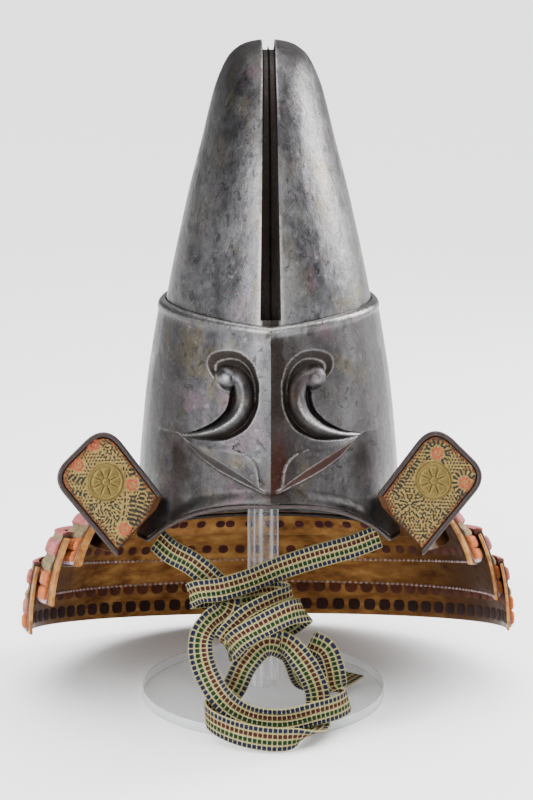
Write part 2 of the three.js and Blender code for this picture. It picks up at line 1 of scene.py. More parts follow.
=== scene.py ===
"""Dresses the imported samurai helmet: worn lacquer, silk lacing, printed leather, braid and clear plastic.

Lengths are in millimetres until a mesh is made. The helmet faces -Y and its own middle plane is HELMET_X.
"""
import math

import bpy
import numpy as np
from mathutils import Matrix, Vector


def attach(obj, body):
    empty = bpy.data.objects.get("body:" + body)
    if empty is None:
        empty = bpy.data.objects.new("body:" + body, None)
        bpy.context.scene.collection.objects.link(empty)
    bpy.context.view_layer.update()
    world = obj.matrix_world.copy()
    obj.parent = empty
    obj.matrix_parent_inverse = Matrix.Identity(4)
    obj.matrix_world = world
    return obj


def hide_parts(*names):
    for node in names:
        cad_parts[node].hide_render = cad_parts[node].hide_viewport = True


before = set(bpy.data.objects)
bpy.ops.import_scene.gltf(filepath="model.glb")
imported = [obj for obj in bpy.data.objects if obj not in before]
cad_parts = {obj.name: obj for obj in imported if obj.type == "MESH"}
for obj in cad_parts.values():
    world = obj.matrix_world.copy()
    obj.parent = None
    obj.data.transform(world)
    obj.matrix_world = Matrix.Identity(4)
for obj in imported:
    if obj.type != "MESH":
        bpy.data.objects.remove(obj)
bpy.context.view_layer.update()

MM = 0.001
HELMET_X = 5.0
COLUMNS = 44  # facets round the bowl in the frame: places round the neck guard are given in them
GAP = 0.3  # clearance between neighbouring pieces
TUBE_SIDES = 14
RANDOM = np.random.default_rng(7)

# Camera, from the ellipse of the stand's disc in the photograph
PHOTO_LONG_SIDE = 800
PHOTO_FOCAL_PIXELS = 2045
CAMERA_TARGET = (3.1, 0.0, 272.9)
CAMERA_DISTANCE = 1800
CAMERA_PITCH = 13.15
CAMERA_TURN = -0.8


def add_camera():
    data = bpy.data.cameras.new("camera")
    data.sensor_width = 36
    data.lens = data.sensor_width * PHOTO_FOCAL_PIXELS / PHOTO_LONG_SIDE
    data.clip_end = 50
    camera = bpy.data.objects.new("camera", data)
    turn, pitch = math.radians(CAMERA_TURN), math.radians(CAMERA_PITCH)
    back = Vector((math.sin(turn) * math.cos(pitch), -math.cos(turn) * math.cos(pitch), math.sin(pitch)))
    camera.location = (Vector(CAMERA_TARGET) + back * CAMERA_DISTANCE) * MM
    camera.rotation_mode = "QUATERNION"
    camera.rotation_quaternion = (-back).to_track_quat("-Z", "Y")
    bpy.context.scene.collection.objects.link(camera)
    bpy.context.scene.camera = camera


# Mesh helpers


def tube_faces(rings, n, closed=False):
    """Quads between rings of n points each, stored ring by ring."""
    i = np.arange(rings if closed else rings - 1)[:, None]
    j = np.arange(n)[None, :]
    i2, j2 = (i + 1) % rings, (j + 1) % n
    return np.stack([i * n + j, i * n + j2, i2 * n + j2, i2 * n + j], -1).reshape(-1, 4).tolist()


def outward(points, faces):
    """The faces, turned round if the body's volume comes out negative."""
    p = points - points.mean(0)
    volume = 0.0
    for f in faces[:: max(1, len(faces) // 4000)]:
        volume += np.dot(p[f[0]], np.cross(p[f[1]], p[f[2]]))
    return [f[::-1] for f in faces] if volume < 0 else faces


def through(rings, closed=False, first=None, last=None):
    """A body through rings of points: closed on itself, or each end has a flat face or a fan to a point."""
    rings = np.asarray(rings, float)
    count, n = rings.shape[:2]
    points, faces = rings.reshape(-1, 3), tube_faces(count, n, closed)
    if closed:
        return points, outward(points, faces)
    for ring, tip in ((np.arange(n)[::-1], first), (np.arange(n) + (count - 1) * n, last)):
        if tip is None:
            faces.append(ring.tolist())
        else:
            faces += [[int(a), int(b), len(points)] for a, b in zip(ring, np.roll(ring, -1))]
            points = np.vstack([points, tip])
    return points, outward(points, faces)


def joined(bodies):
    """One list of points and faces from several."""
    points, faces, start = [], [], 0
    for p, f in bodies:
        points.append(p)
        faces += [[i + start for i in face] for face in f]
        start += len(p)
    return np.concatenate(points), faces


def paint(mesh, name, colors):
    """Stores a colour for each vertex."""
    layer = mesh.color_attributes.new(name=name, type="FLOAT_COLOR", domain="POINT")
    rgba = np.ones((len(mesh.vertices), 4), np.float32)
    rgba[:, :3] = colors
    layer.data.foreach_set("color", rgba.ravel())


def make_mesh(name, points, faces, material, smooth_angle=40, uv=None, **colors):
    """A mesh object from points in millimetres. uv and the painted colours are given for each point."""
    mesh = bpy.data.meshes.new(name)
    mesh.from_pydata((points * MM).tolist(), [], faces)
    mesh.validate()
    if uv is not None:
        corner = np.zeros(len(mesh.loops), np.int32)
        mesh.loops.foreach_get("vertex_index", corner)
        layer = mesh.uv_layers.new(name="weave")
        layer.data.foreach_set("uv", np.asarray(uv, np.float32)[corner].ravel())
    for layer_name, values in colors.items():
        paint(mesh, layer_name, values)
    mesh.polygons.foreach_set("use_smooth", [True] * len(mesh.polygons))
    mesh.set_sharp_from_angle(angle=math.radians(smooth_angle))
    mesh.materials.append(material)
    made = bpy.data.objects.new(name, mesh)
    bpy.context.scene.collection.objects.link(made)
    return made


def dress(piece, slot, *nodes):
    """Puts a finished piece on the part's only body, in the place of the named nodes."""
    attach(piece, "root")
    if nodes:
        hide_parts(*nodes)
    return piece


def add_piece(name, body, slot, nodes, material, smooth_angle=60, at=(HELMET_X, 0, 0), **given):
    """Makes a piece from its points and faces and dresses it."""
    points, faces = body
    return dress(make_mesh(name, points + at, faces, material, smooth_angle, **given), slot, *nodes)


# Shape helpers


def unit(v):
    return v / np.maximum(np.linalg.norm(v, axis=-1, keepdims=True), 1e-9)


def smooth(t):
    """Rises softly from 0 to 1 as t does."""
    t = np.clip(t, 0, 1)
    return t * t * (3 - 2 * t)


def hill(t):
    """1 where t is 0, falling softly to nothing at about 2."""
    return np.exp(-(t**2))


def evenly_round(count):
    """Angles spaced evenly round a circle."""
    return np.arange(count) * 2 * math.pi / count


def lengths_along(line):
    """How far along a line each of its points is."""
    return np.concatenate([[0], np.cumsum(np.linalg.norm(np.diff(line, axis=0), axis=1))])


def circle(radius, sides, flatten=1.0):
    t = evenly_round(sides)
    return np.stack([radius * np.cos(t), radius * flatten * np.sin(t)], -1)


def sweep(centres, across, up, section, closed=False):
    """A tube: a section of (a, b) pairs carried along centres by two directions at each."""
    a, b = section.T[:, None, :, None]
    return through(centres[:, None] + across[:, None] * a + up[:, None] * b, closed)


def hermite(p, u, q, v, t):
    """A place on the way from p to q, which leaves p along u and comes to q along v."""
    t2, t3 = t**2, t**3
    return (2 * t3 - 3 * t2 + 1) * p + (t3 - 2 * t2 + t) * u + (3 * t2 - 2 * t3) * q + (t3 - t2) * v


def centripetal(points, steps):
    """A centripetal Catmull-Rom line through points, steps to a span, with its tangents."""
    p = np.asarray(points, float)
    p = np.vstack([2 * p[0] - p[1], p, 2 * p[-1] - p[-2]])
    places, tangents = [], []
    for k in range(1, len(p) - 2):
        p0, p1, p2, p3 = p[k - 1 : k + 3]
        d0, d1, d2 = (max(math.sqrt(np.linalg.norm(b - a)), 1e-4) for a, b in ((p0, p1), (p1, p2), (p2, p3)))
        t1 = ((p1 - p0) / d0 - (p2 - p0) / (d0 + d1) + (p2 - p1) / d1) * d1
        t2 = ((p2 - p1) / d1 - (p3 - p1) / (d1 + d2) + (p3 - p2) / d2) * d1
        last = k == len(p) - 3
        for t in np.linspace(0, 1, steps + 1)[: None if last else -1]:
            places.append(hermite(p1, t1, p2, t2, t))
            turn = 6 * t**2 - 6 * t
            tangents.append(turn * (p1 - p2) + (3 * t**2 - 4 * t + 1) * t1 + (3 * t**2 - 2 * t) * t2)
    return np.array(places), unit(np.array(tangents))


def spline_rows(table, count, tail):
    """Rows spaced evenly along a smooth line through a table's rows. tail is a phantom row after the last."""
    p = np.vstack([2 * table[0] - table[1], table, tail])
    rows = []
    for place in np.linspace(0, len(table) - 1, count):
        k = min(int(place), len(table) - 2)
        p0, p1, p2, p3 = p[k : k + 4]
        rows.append(hermite(p1, (p2 - p0) / 2, p2, (p3 - p1) / 2, place - k))
    return np.array(rows)


def rows_at(table, z):
    """A table's rows at any heights, smoothly between its own."""
    z = np.asarray(z, float)
    heights = table[:, 0]
    slopes = np.gradient(table, heights, axis=0)
    inside = np.clip(z, heights[0], heights[-1])
    k = np.clip(np.searchsorted(heights, inside, side="right") - 1, 0, len(heights) - 2)
    step = (heights[k + 1] - heights[k])[..., None]
    t = (inside - heights[k])[..., None] / step
    rows = hermite(table[k], step * slopes[k], table[k + 1], step * slopes[k + 1], t)
    rows[..., 0] = z
    return rows


# Node helpers


class Nodes:
    """A small way to write a material's node tree."""

    def __init__(self, name):
        self.material = bpy.data.materials.new(name)
        self.material.use_nodes = True
        self.tree = self.material.node_tree
        self.shader = self.tree.nodes["Principled BSDF"]

    def put(self, socket, value):
        """Links or sets a socket. A colour is three numbers."""
        if isinstance(value, bpy.types.NodeSocket):
            self.tree.links.new(value, socket)
        else:
            socket.default_value = (*value, 1) if socket.type == "RGBA" else value

    def add(self, kind, inputs=None, out=0, **settings):
        made = self.tree.nodes.new("ShaderNode" + kind)
        for key, value in settings.items():
            setattr(made, key, value)
        for key, value in (inputs or {}).items():
            self.put(made.inputs[key], value)
        return made.outputs[out]

    def math(self, operation, a, b=0.0, c=0.0):
        return self.add("Math", {0: a, 1: b, 2: c}, operation=operation)

    def times(self, a, b):
        return self.math("MULTIPLY", a, b)

    def plus(self, a, b):
        return self.math("ADD", a, b)

    def apart(self, a, b):
        return self.math("ABSOLUTE", self.math("SUBTRACT", a, b))

    def mix(self, share, a, b, blend="MIX"):
        made = self.tree.nodes.new("ShaderNodeMix")
        made.data_type = "RGBA"
        made.blend_type = blend
        self.put(made.inputs[0], share)
        self.put(made.inputs[6], a)
        self.put(made.inputs[7], b)
        return made.outputs[2]

    def ramp(self, value, stops):
        made = self.tree.nodes.new("ShaderNodeValToRGB")
        while len(made.color_ramp.elements) < len(stops):
            made.color_ramp.elements.new(0.5)
        for element, (place, color) in zip(made.color_ramp.elements, stops):
            element.position = place
            element.color = (*color, 1)
        self.put(made.inputs[0], value)
        return made.outputs[0]

    def coats(self, color, coats):
        """Colours laid one over another: (where, strength, colour) for each."""
        for share, strength, coat in coats:
            color = self.mix(share if strength == 1 else self.times(share, strength), color, coat)
        return color

    def span(self, value, low, high, at_low=0.0, at_high=1.0, **settings):
        return self.add("MapRange", {0: value, 1: low, 2: high, 3: at_low, 4: at_high}, **settings)

    def mask(self, value, low, high):
        """Softly from 0 at low to 1 at high."""
        return self.span(value, low, high, interpolation_type="SMOOTHSTEP")

    def noise(self, scale, detail=4.0, rough=0.55, vector=None, distortion=0.0):
        inputs = {"Scale": scale, "Detail": detail, "Roughness": rough, "Distortion": distortion}
        if vector is not None:
            inputs["Vector"] = vector
        return self.add("TexNoise", inputs)

    def painted(self, layer):
        """The red, green and blue that the mesh carries in a layer."""
        made = self.tree.nodes.new("ShaderNodeSeparateColor")
        self.put(made.inputs[0], self.add("VertexColor", layer_name=layer))
        return made.outputs[:3]

    def place(self):
        return self.add("TexCoord", out=3)

    def stretched(self, x, y, z):
        return self.add("Mapping", {"Vector": self.place(), "Scale": (x, y, z)})

    def surface(self, **values):
        for key, value in values.items():
            self.put(self.shader.inputs[key.replace("_", " ")], value)

    def bump(self, height, strength, distance):
        made = self.add("Bump", {"Height": height, "Strength": strength, "Distance": distance})
        self.put(self.shader.inputs["Normal"], made)


def grey(v):
    return (v, v, v)


# Materials


def lacquered_iron():
    """Silver-grey lacquer gone dark and mottled, with grime and painted shade in its hollows, and bright
    rubbed edges with painted highlights.

    The mesh carries grime with painted shade, red-brown show-through, and rubbed edges with painted
    highlights as the red, green and blue of its painted layer.
    """
    n = Nodes("lacquered_iron")
    dirt_and_shade, red, rub_and_highlight = n.painted("wear")
    cloud = n.noise(11, 6, 0.62)
    fine = n.noise(110, 6, 0.7)
    warm = n.mask(n.noise(7.5, 5, 0.6), 0.5, 0.68)
    plum = n.mask(n.noise(9.5, 4, 0.55, distortion=0.5), 0.52, 0.7)
    streak = n.mask(n.noise(17, 5, 0.62, n.stretched(1.0, 1.0, 0.25)), 0.48, 0.7)
    patch = n.mask(n.noise(23, 5, 0.65, distortion=0.8), 0.58, 0.63)
    pale = n.mask(n.noise(31, 6, 0.72, distortion=0.5), 0.58, 0.66)
    bare = n.plus(n.noise(6.0, 6, 0.68, distortion=0.6), n.times(fine, 0.12))
    rust = n.times(n.mask(bare, 0.72, 0.8), 0.45)
    rust = n.math("MAXIMUM", rust, n.times(red, n.mask(fine, 0.25, 0.5)))
    specks = n.mask(n.noise(170, 3, 0.6), 0.64, 0.7)
    lines = n.add("Mapping", {"Vector": n.place(), "Rotation": (0.3, 0.5, 0.9), "Scale": (3, 3, 60)})
    scratch = n.mask(n.noise(9, 2, 0.5, lines), 0.745, 0.79)
    grain = n.noise(58, 8, 0.78)
    coats = [
        (warm, 1, (0.085, 0.072, 0.05)),
        (plum, 1, (0.09, 0.068, 0.08)),
        (streak, 0.75, (0.15, 0.15, 0.155)),
        (patch, 0.7, (0.024, 0.022, 0.024)),
        (pale, 0.5, (0.21, 0.2, 0.185)),
        (rust, 1, (0.075, 0.014, 0.009)),
        (specks, 0.7, (0.02, 0.017, 0.017)),
        (scratch, 0.4, (0.02, 0.02, 0.02)),
        (n.mask(grain, 0.52, 0.64), 0.12, (0.17, 0.168, 0.165)),
        (n.mask(grain, 0.5, 0.4), 0.36, (0.026, 0.025, 0.027)),
        # Grime and painted shade darken the hollows, the groove and the sides; rubbed edges and painted
        # highlights brighten crests and rims.
        (n.times(dirt_and_shade, n.plus(0.75, n.times(fine, 0.4))), 1, (0.013, 0.009, 0.007)),
        (n.times(rub_and_highlight, n.mask(fine, 0.3, 0.6)), 1, (0.4, 0.39, 0.375)),
    ]
    greys = [(0.32, (0.03, 0.03, 0.032)), (0.5, (0.058, 0.058, 0.062)), (0.7, (0.11, 0.11, 0.115))]
    rough = n.span(n.plus(cloud, n.times(fine, 0.35)), 0.45, 0.95, 0.26, 0.47)
    rough = n.plus(rough, n.times(n.math("MAXIMUM", rust, dirt_and_shade), 0.18))
    color = n.coats(n.ramp(cloud, greys), coats)
    n.surface(Base_Color=color, Metallic=0.97, Roughness=rough, Specular_IOR_Level=0.3)
    height = n.plus(n.noise(16, 3, 0.5), n.times(fine, 0.06))
    n.bump(n.math("SUBTRACT", height, n.times(n.plus(specks, rust), 0.03)), 0.55, 0.0012)
    return n.material


def dark_edge():
    n = Nodes("dark_edge")
    cloud = n.noise(60, 4, 0.6)
    browns = [(0.3, (0.012, 0.008, 0.008)), (0.6, (0.034, 0.024, 0.023)), (0.8, (0.1, 0.078, 0.074))]
    n.surface(Base_Color=n.ramp(cloud, browns), Metallic=0.2, Roughness=0.4, Specular_IOR_Level=0.3)
    n.bump(cloud, 0.3, 0.0006)
    return n.material


def gold_lacquer():
    """Worn gold lacquer of the neck guard's inner face. The mesh carries painted shade as the red of its
    painted layer.
    """
    n = Nodes("gold_lacquer")
    plate_shade, _, _ = n.painted("wear")
    cloud = n.noise(14, 5, 0.62)
    streak = n.mask(n.noise(30, 4, 0.6, n.stretched(0.6, 0.6, 2.2)), 0.55, 0.75)
    specks = n.mask(n.noise(130, 3, 0.6), 0.63, 0.7)
    coats = [
        (streak, 1, (0.24, 0.1, 0.03)),
        (specks, 0.6, (0.07, 0.025, 0.012)),
        # Painted shade, mottled by the cloud.
        (n.times(plate_shade, n.plus(0.72, n.times(cloud, 0.5))), 1, (0.032, 0.012, 0.005)),
    ]
    golds = [(0.3, (0.1, 0.034, 0.01)), (0.52, (0.27, 0.12, 0.032)), (0.75, (0.46, 0.24, 0.07))]
    rough = n.span(cloud, 0.3, 0.7, 0.3, 0.5)
    color = n.coats(n.ramp(cloud, golds), coats)
    n.surface(Base_Color=color, Metallic=0.35, Roughness=rough, Specular_IOR_Level=0.1)
    n.bump(n.noise(45, 4, 0.6), 0.35, 0.0006)
    return n.material


def silk():
    """Silk whose colour is painted on the mesh, with a fine slanted weave."""
    n = Nodes("silk_lacing")
    tint = n.add("VertexColor", layer_name="tint")
    slant = n.add("Mapping", {"Vector": n.place(), "Scale": (420, 420, 420), "Rotation": (0, 0.6, 0)})
    weave = n.add("TexWave", {"Vector": slant, "Scale": 1.0, "Distortion": 1.2, "Detail": 1.0}, out=1)
    faded = n.mask(n.noise(55, 4, 0.6), 0.35, 0.7)
    color = n.mix(faded, n.mix(1.0, tint, grey(0.62), "MULTIPLY"), tint)
    color = n.mix(n.times(weave, 0.35), color, n.mix(1.0, color, grey(0.45), "MULTIPLY"))
    n.surface(Base_Color=color, Roughness=0.85, Sheen_Weight=0.06, Specular_IOR_Level=0.15)
    n.bump(weave, 0.6, 0.0007)
    return n.material


def leather():
    """Smoked leather, worn and burnt towards its border, which the mesh carries as the red of "wear"."""
    n = Nodes("printed_leather")
    border = n.times(n.painted("wear")[0], 0.24)
    worn = n.mask(n.plus(n.noise(26, 5, 0.62, distortion=0.5), border), 0.62, 0.7)
    burnt = n.mask(n.plus(n.noise(48, 5, 0.6), border), 0.72, 0.8)
    coats = [(worn, 1, (0.13, 0.042, 0.014)), (burnt, 1, (0.035, 0.016, 0.01))]
    tans = [(0.3, (0.12, 0.068, 0.018)), (0.52, (0.19, 0.13, 0.04)), (0.75, (0.26, 0.2, 0.072))]
    color = n.coats(n.ramp(n.noise(30, 4, 0.55), tans), coats)
    n.surface(Base_Color=color, Roughness=0.72, Specular_IOR_Level=0.15)
    n.bump(n.add("TexVoronoi", {"Scale": 900.0}), 0.25, 0.0003)
    return n.material


def ink():
    n = Nodes("leather_print")
    faded = n.mask(n.noise(260, 3, 0.6), 0.55, 0.8)
    color = n.coats(n.add("VertexColor", layer_name="tint"), [(faded, 0.6, (0.2, 0.13, 0.045))])
    n.surface(Base_Color=color, Roughness=0.75, Specular_IOR_Level=0.15)
    return n.material


def brass():
    n = Nodes("brass")
    golds = [(0.3, (0.06, 0.037, 0.01)), (0.55, (0.16, 0.115, 0.035)), (0.75, (0.28, 0.21, 0.075))]
    n.surface(Base_Color=n.ramp(n.noise(80, 5, 0.6), golds), Metallic=0.9, Roughness=0.42)
    n.bump(n.noise(300, 3, 0.6), 0.3, 0.0004)
    return n.material


def acrylic():
    """Clear plastic, pale and glossy where it is seen edge on.

    The mesh carries painted highlights on the disc's rim and down the rod as the red of its painted layer,
    and as green how much a glancing look covers.
    """
    n = Nodes("clear_acrylic")
    lit, glancing, _ = n.painted("wear")
    cover = n.span(n.add("LayerWeight", {"Blend": 0.35}, out=1), 0.35, 1.0, 0.07, 0.8)
    cover = n.plus(n.times(cover, glancing), n.times(lit, 0.5))
    n.surface(Base_Color=(0.68, 0.7, 0.72), Roughness=0.06, IOR=1.49, Alpha=cover)
    n.bump(n.noise(40, 3, 0.5), 0.02, 0.0002)
    return n.material


# The chin cord's weave, across its width from 0 to 1: place of each dashed line and its colour
BRAID_LINES = [
    (0.12, (0.009, 0.012, 0.034)),
    (0.37, (0.007, 0.028, 0.011)),
    (0.63, (0.045, 0.012, 0.01)),
    (0.88, (0.009, 0.012, 0.034)),
]
BRAID_LINE_WIDTH = 0.185
BRAID_DASH = 4.2  # millimetres from one dash to the next


def chin_braid():
    """Flat braid: four dashed lines on cream, every dash a raised float of thread."""
    n = Nodes("chin_braid")
    parts = n.tree.nodes.new("ShaderNodeSeparateXYZ")
    n.put(parts.inputs[0], n.add("UVMap", uv_map="weave"))
    across, along = parts.outputs[0], parts.outputs[1]
    beat = n.math("FRACT", n.math("DIVIDE", along, BRAID_DASH))
    dash = n.span(n.apart(beat, 0.5), 0.36, 0.44, 1.0, 0.0)
    between_dashes = n.apart(n.math("FRACT", n.plus(beat, 0.5)), 0.5)
    threads = n.math("ABSOLUTE", n.math("SINE", n.times(across, 8 * math.pi)))
    cream = n.mix(n.mask(n.noise(120, 4, 0.6), 0.35, 0.7), (0.29, 0.25, 0.095), (0.52, 0.46, 0.235))
    coats = [
        # Darker between the threads: painted shade in their furrows.
        (n.math("SUBTRACT", 1.0, threads), 0.55, (0.2, 0.17, 0.08)),
        (n.mask(between_dashes, 0.36, 0.5), 0.45, (0.22, 0.19, 0.1)),
    ]
    float_height = 0.0
    for place, tone in BRAID_LINES:
        line = n.span(n.apart(across, place), BRAID_LINE_WIDTH * 0.4, BRAID_LINE_WIDTH * 0.55, 1.0, 0.0)
        stroke = n.times(line, dash)
        coats.append((stroke, 1, tone))
        float_height = n.math("MAXIMUM", stroke, float_height)
    ripple = n.math("COSINE", n.times(beat, 4 * math.pi))
    height = n.plus(n.plus(float_height, n.times(threads, 0.7)), n.times(ripple, 0.18))
    n.surface(Base_Color=n.coats(cream, coats), Roughness=0.85, Specular_IOR_Level=0.1)
    n.bump(height, 1.0, 0.001)
    return n.material


# Chin cord: x, y, z and the lean of the cord's width in degrees, the same rows as the frame's strands
STRAND_FROM_LEFT = [
    (101, -36, 158.5, 104), (78, -41, 151, 104), (45, -46, 143, 105), (15, -51, 134.5, 106),
    (-13, -58, 125, 108), (-37, -62, 119, 103), (-57, -58, 115, 102), (-64, -47, 107, 102),
    (-48, -38, 105, 90), (-20, -37, 103, 92), (6, -45, 110.5, 104), (24, -62, 112.6, 100),
    (8, -77, 111, 98), (-14, -84, 101, 116), (-33, -80, 79, 137), (-30, -67, 66, 112),
    (-11, -57, 66, 93), (17.5, -57, 81.5, 118), (35, -70, 100.5, 123), (23, -89, 107, 115),
    (-1, -97, 98, 112), (-23, -93, 83, 122), (-27, -81, 70, 105), (-7, -71, 68, 90),
    (16, -79, 76.5, 100), (32, -88, 63, 50), (45, -90, 37, 27), (46, -97, 14, 4),
    (44, -114, 11, 0), (33, -134, 12, 30), (10, -142, 12.5, 80), (-20, -136, 15, 92),
    (-42, -122, 19, 95), (-50, -106, 21, 94), (-44, -92, 23, 104), (-28, -84, 34, 140),
    (-16, -83, 58, 168), (2, -81, 75, 104), (22, -74, 66, 42), (36, -56, 32, 18),
    (56, -24, 12.5, 0), (84, 14, 11, 0),
]
STRAND_FROM_RIGHT = [
    (-93, -33, 155, 54), (-81, -42, 147, 54), (-63, -47, 138, 57), (-44.5, -50, 123, 51),
    (-31, -53, 109, 25), (-34, -61, 99, -30), (-46, -70, 92, -44), (-54, -80, 82, -17),
    (-54.5, -88, 68, 8), (-47, -98, 49, 27), (-33, -108, 32, 51), (-13, -115, 22, 75),
    (15, -119, 20, 92), (43, -116, 25, 99), (64.5, -104, 27, 97), (72, -90, 28, 102),
    (63, -80, 34, 150), (59, -76, 52, 192), (53, -74, 67, 217), (40, -69, 73, 240),
]
CORD_WIDTH = 21.5
CORD_THICKNESS = 2.4
CORD_STEPS = 9  # rings between two rows of a strand


def strap(name, rows, node, material):
    """A flat braid along its rows, a little hollowed along its lines of thread."""
    rows = np.array(rows, float)
    centres, along = centripetal(rows[:, :3], CORD_STEPS)
    place = np.linspace(0, len(rows) - 1, len(centres))
    lean = np.radians(np.interp(place, np.arange(len(rows)), rows[:, 3]))
    for _ in range(4):  # evens out the changes of twist
        lean[1:-1] = (lean[:-2] + lean[1:-1] * 2 + lean[2:]) / 4
    width = np.stack([np.cos(lean), np.zeros_like(lean), np.sin(lean)], -1)
    width = unit(width - along * np.sum(width * along, -1, keepdims=True))
    flat = np.cross(along, width)
    a = np.linspace(-1, 1, 17)
    swell = CORD_THICKNESS / 2 * (0.86 + 0.14 * np.abs(np.sin(a * 4 * math.pi)))
    swell[[0, -1]] = CORD_THICKNESS / 2 * 0.45
    top = np.stack([a * CORD_WIDTH / 2, swell], -1)
    section = np.vstack([top, top[::-1] * (1, -1)])
    body = sweep(centres, width, flat, section)
    run = lengths_along(centres)
    uv = np.stack([np.tile(section[:, 0] / CORD_WIDTH + 0.5, len(centres)), np.repeat(run, len(section))], -1)
    piece = add_piece(name, body, "chin_braid", [node], material, at=0, uv=uv)


# Bowl sections, as in the frame: z, half width, front, back, widest y, and the two powers of the front
CROWN = [
    (350, 89.8, -113.1, 115.6, 5, 1.25, 0.62), (362, 89.4, -113.1, 115.6, 5, 1.25, 0.62),
    (395, 83, -107, 115, 8, 1.3, 0.61), (430, 75.3, -99, 113, 12, 1.35, 0.6),
    (464, 67.3, -89, 109, 16, 1.42, 0.59), (499, 58, -76, 104, 20, 1.5, 0.58),
    (533, 49.6, -58, 96, 25, 1.6, 0.56), (550, 44.4, -46, 90, 27, 1.65, 0.55),
    (567, 36.6, -28, 78, 30, 1.7, 0.54), (576, 29, -12, 67, 32, 1.7, 0.54),
    (582, 18, 6, 52, 33, 1.7, 0.54), (584.5, 0, 33, 33, 33, 1.7, 0.54),
]
BAND = [
    (135, 118.5, -124, 126, 5, 1.4, 0.57), (222, 114, -124, 126, 5, 1.35, 0.58),
    (254, 111, -123.5, 125.7, 5, 1.32, 0.59), (290, 107, -122.5, 125, 5, 1.3, 0.6),
    (326, 101.3, -121, 123.5, 5, 1.28, 0.61), (344, 98.2, -119.8, 122.3, 5, 1.26, 0.62),
    (362, 94.8, -118.5, 121, 5, 1.25, 0.62),
]
CROWN, BAND = np.array(CROWN), np.array(BAND)
SEAM_SLOPE = 0.0225


def section(rows, turns, out=0.0):
    """Points of horizontal sections: rows of a table by turns, turn 0 in front and half a turn behind."""
    z, side, front, back, mid, m, q = (rows[..., i] for i in range(7))
    s, c = np.abs(np.sin(turns)), np.cos(turns)
    y_front = mid - (mid - front + out) * np.clip(1 - s**m, 0, 1) ** q
    y_back = mid + (back + out - mid) * -c
    x = (side + out) * np.sin(turns)
    return np.stack([x, np.where(c > 0, y_front, y_back), z + 0 * x], -1)


def cut(piece, tool):
    """Takes the tool's shape out of the piece."""
    modifier = piece.modifiers.new("cut", "BOOLEAN")
    modifier.operation, modifier.solver, modifier.object = "DIFFERENCE", "MANIFOLD", tool
    graph = bpy.context.evaluated_depsgraph_get()
    mesh = bpy.data.meshes.new_from_object(piece.evaluated_get(graph))
    piece.modifiers.clear()
    piece.data, old = mesh, piece.data
    bpy.data.meshes.remove(old)
    bpy.data.objects.remove(tool)


CROWN_COLUMNS = 180
CROWN_ROWS = 110
CROWN_WALL = 2.5
CROWN_TOP = 584.5
TOP_Y = 33
TOP_GAP = 4  # half width at which the rings stop short of the top
SEAM_TOP = 370  # below this the crown's rings lean with its seam on the band
INNER_FOOT = 340
DOME_FOOT, DOME_HEIGHT = 500, 70  # here the wall gets thicker towards the top
GROOVE_DEPTH = 12.0
GROOVE_SHALLOWS = 0.25  # share of the depth that it loses on the way up
GROOVE_FOOT, GROOVE_TOP = 366, 576
GROOVE_HALF, GROOVE_NARROWS = 8.5, 3.3
TOOL_HEIGHT = 12  # how far the cutting body stands out of the crown


def groove_rise(z):
    """Share of the way up the groove, along which it gets narrower and less deep."""
    return np.clip((z - GROOVE_FOOT) / (GROOVE_TOP - GROOVE_FOOT), 0, 1)


def groove_half(z):
    return GROOVE_HALF - GROOVE_NARROWS * groove_rise(z)


def crown_skin(name, inset, material):
    """The closed outer or inner skin of the crown."""
    over_the_top = CROWN[-2] * (1, -1, -1, -1, 1, 1, 1) + (0, 0, 2 * TOP_Y, 2 * TOP_Y, 0, 0, 0)
    rows = spline_rows(CROWN, CROWN_ROWS, over_the_top)[:-1]
    rows = rows[rows[:, 1] > inset + TOP_GAP]
    rings = section(rows[:, None], evenly_round(CROWN_COLUMNS), -inset)
    rings[..., 2] -= inset * np.clip((rows[:, :1] - DOME_FOOT) / DOME_HEIGHT, 0, 1)
    rings[..., 2] += np.where(rings[..., 2] < SEAM_TOP, SEAM_SLOPE * rings[..., 1], 0)
    if inset:
        rings = np.concatenate([rings[:1], rings])
        rings[0, :, 2] = INNER_FOOT
    points, faces = through(rings, first=(0, 5, rings[0, 0, 2]), last=(0, TOP_Y, CROWN_TOP - inset))
    # The faces look inwards, so the cuts leave two flat sheets across the crown's lower edge
    return make_mesh(name, points + (HELMET_X, 0, 0), [f[::-1] for f in faces], material, 30)


def groove_tool(start, inset, ridge, flare, material):
    """The body that cuts the groove: up the front, over the top and down the back."""
    tail = CROWN[-2] * (1, -1, 0, 0, 1, 1, 1) + (0, 0, 60, 14, 0, 0, 0)
    rows = spline_rows(CROWN, 90, tail)
    z, _, front, back = rows[rows[:, 0] > start + 3][:-1, :4].T
    first = rows_at(CROWN[:-1], start)
    path = [(first[2], start), *zip(front, z), (TOP_Y, CROWN_TOP)]
    path = np.array([*path, *zip(back[::-1], z[::-1]), (first[3], start)])
    along = unit(np.gradient(path, axis=0))
    halves = groove_half(path[:, 1]) + inset
    depths = (GROOVE_DEPTH + inset) * (1 - GROOVE_SHALLOWS * groove_rise(path[:, 1]))
    rings = []
    for (y, z), (along_y, along_z), half, deep in zip(path, along, halves, depths):
        right = [
            (half + flare * 6, TOOL_HEIGHT),
            (half + flare, 0),
            (half + flare * 0.3, -flare * 1.1),
            (half, -flare * 3),
            (half - 0.4, -deep + 0.6),
            (half - 1.2, -deep),
            (0.9, -deep),
        ]
        shape = [(-x, h) for x, h in right] + [(0, ridge - deep)] + right[::-1]
        rings.append([(x, y - along_z * h, z + along_y * h) for x, h in shape])
    rings = np.array(rings)
    points, faces = through(rings, first=rings[0].mean(0), last=rings[-1].mean(0))
    return make_mesh("groove_tool", points + (HELMET_X, 0, 0), faces, material)


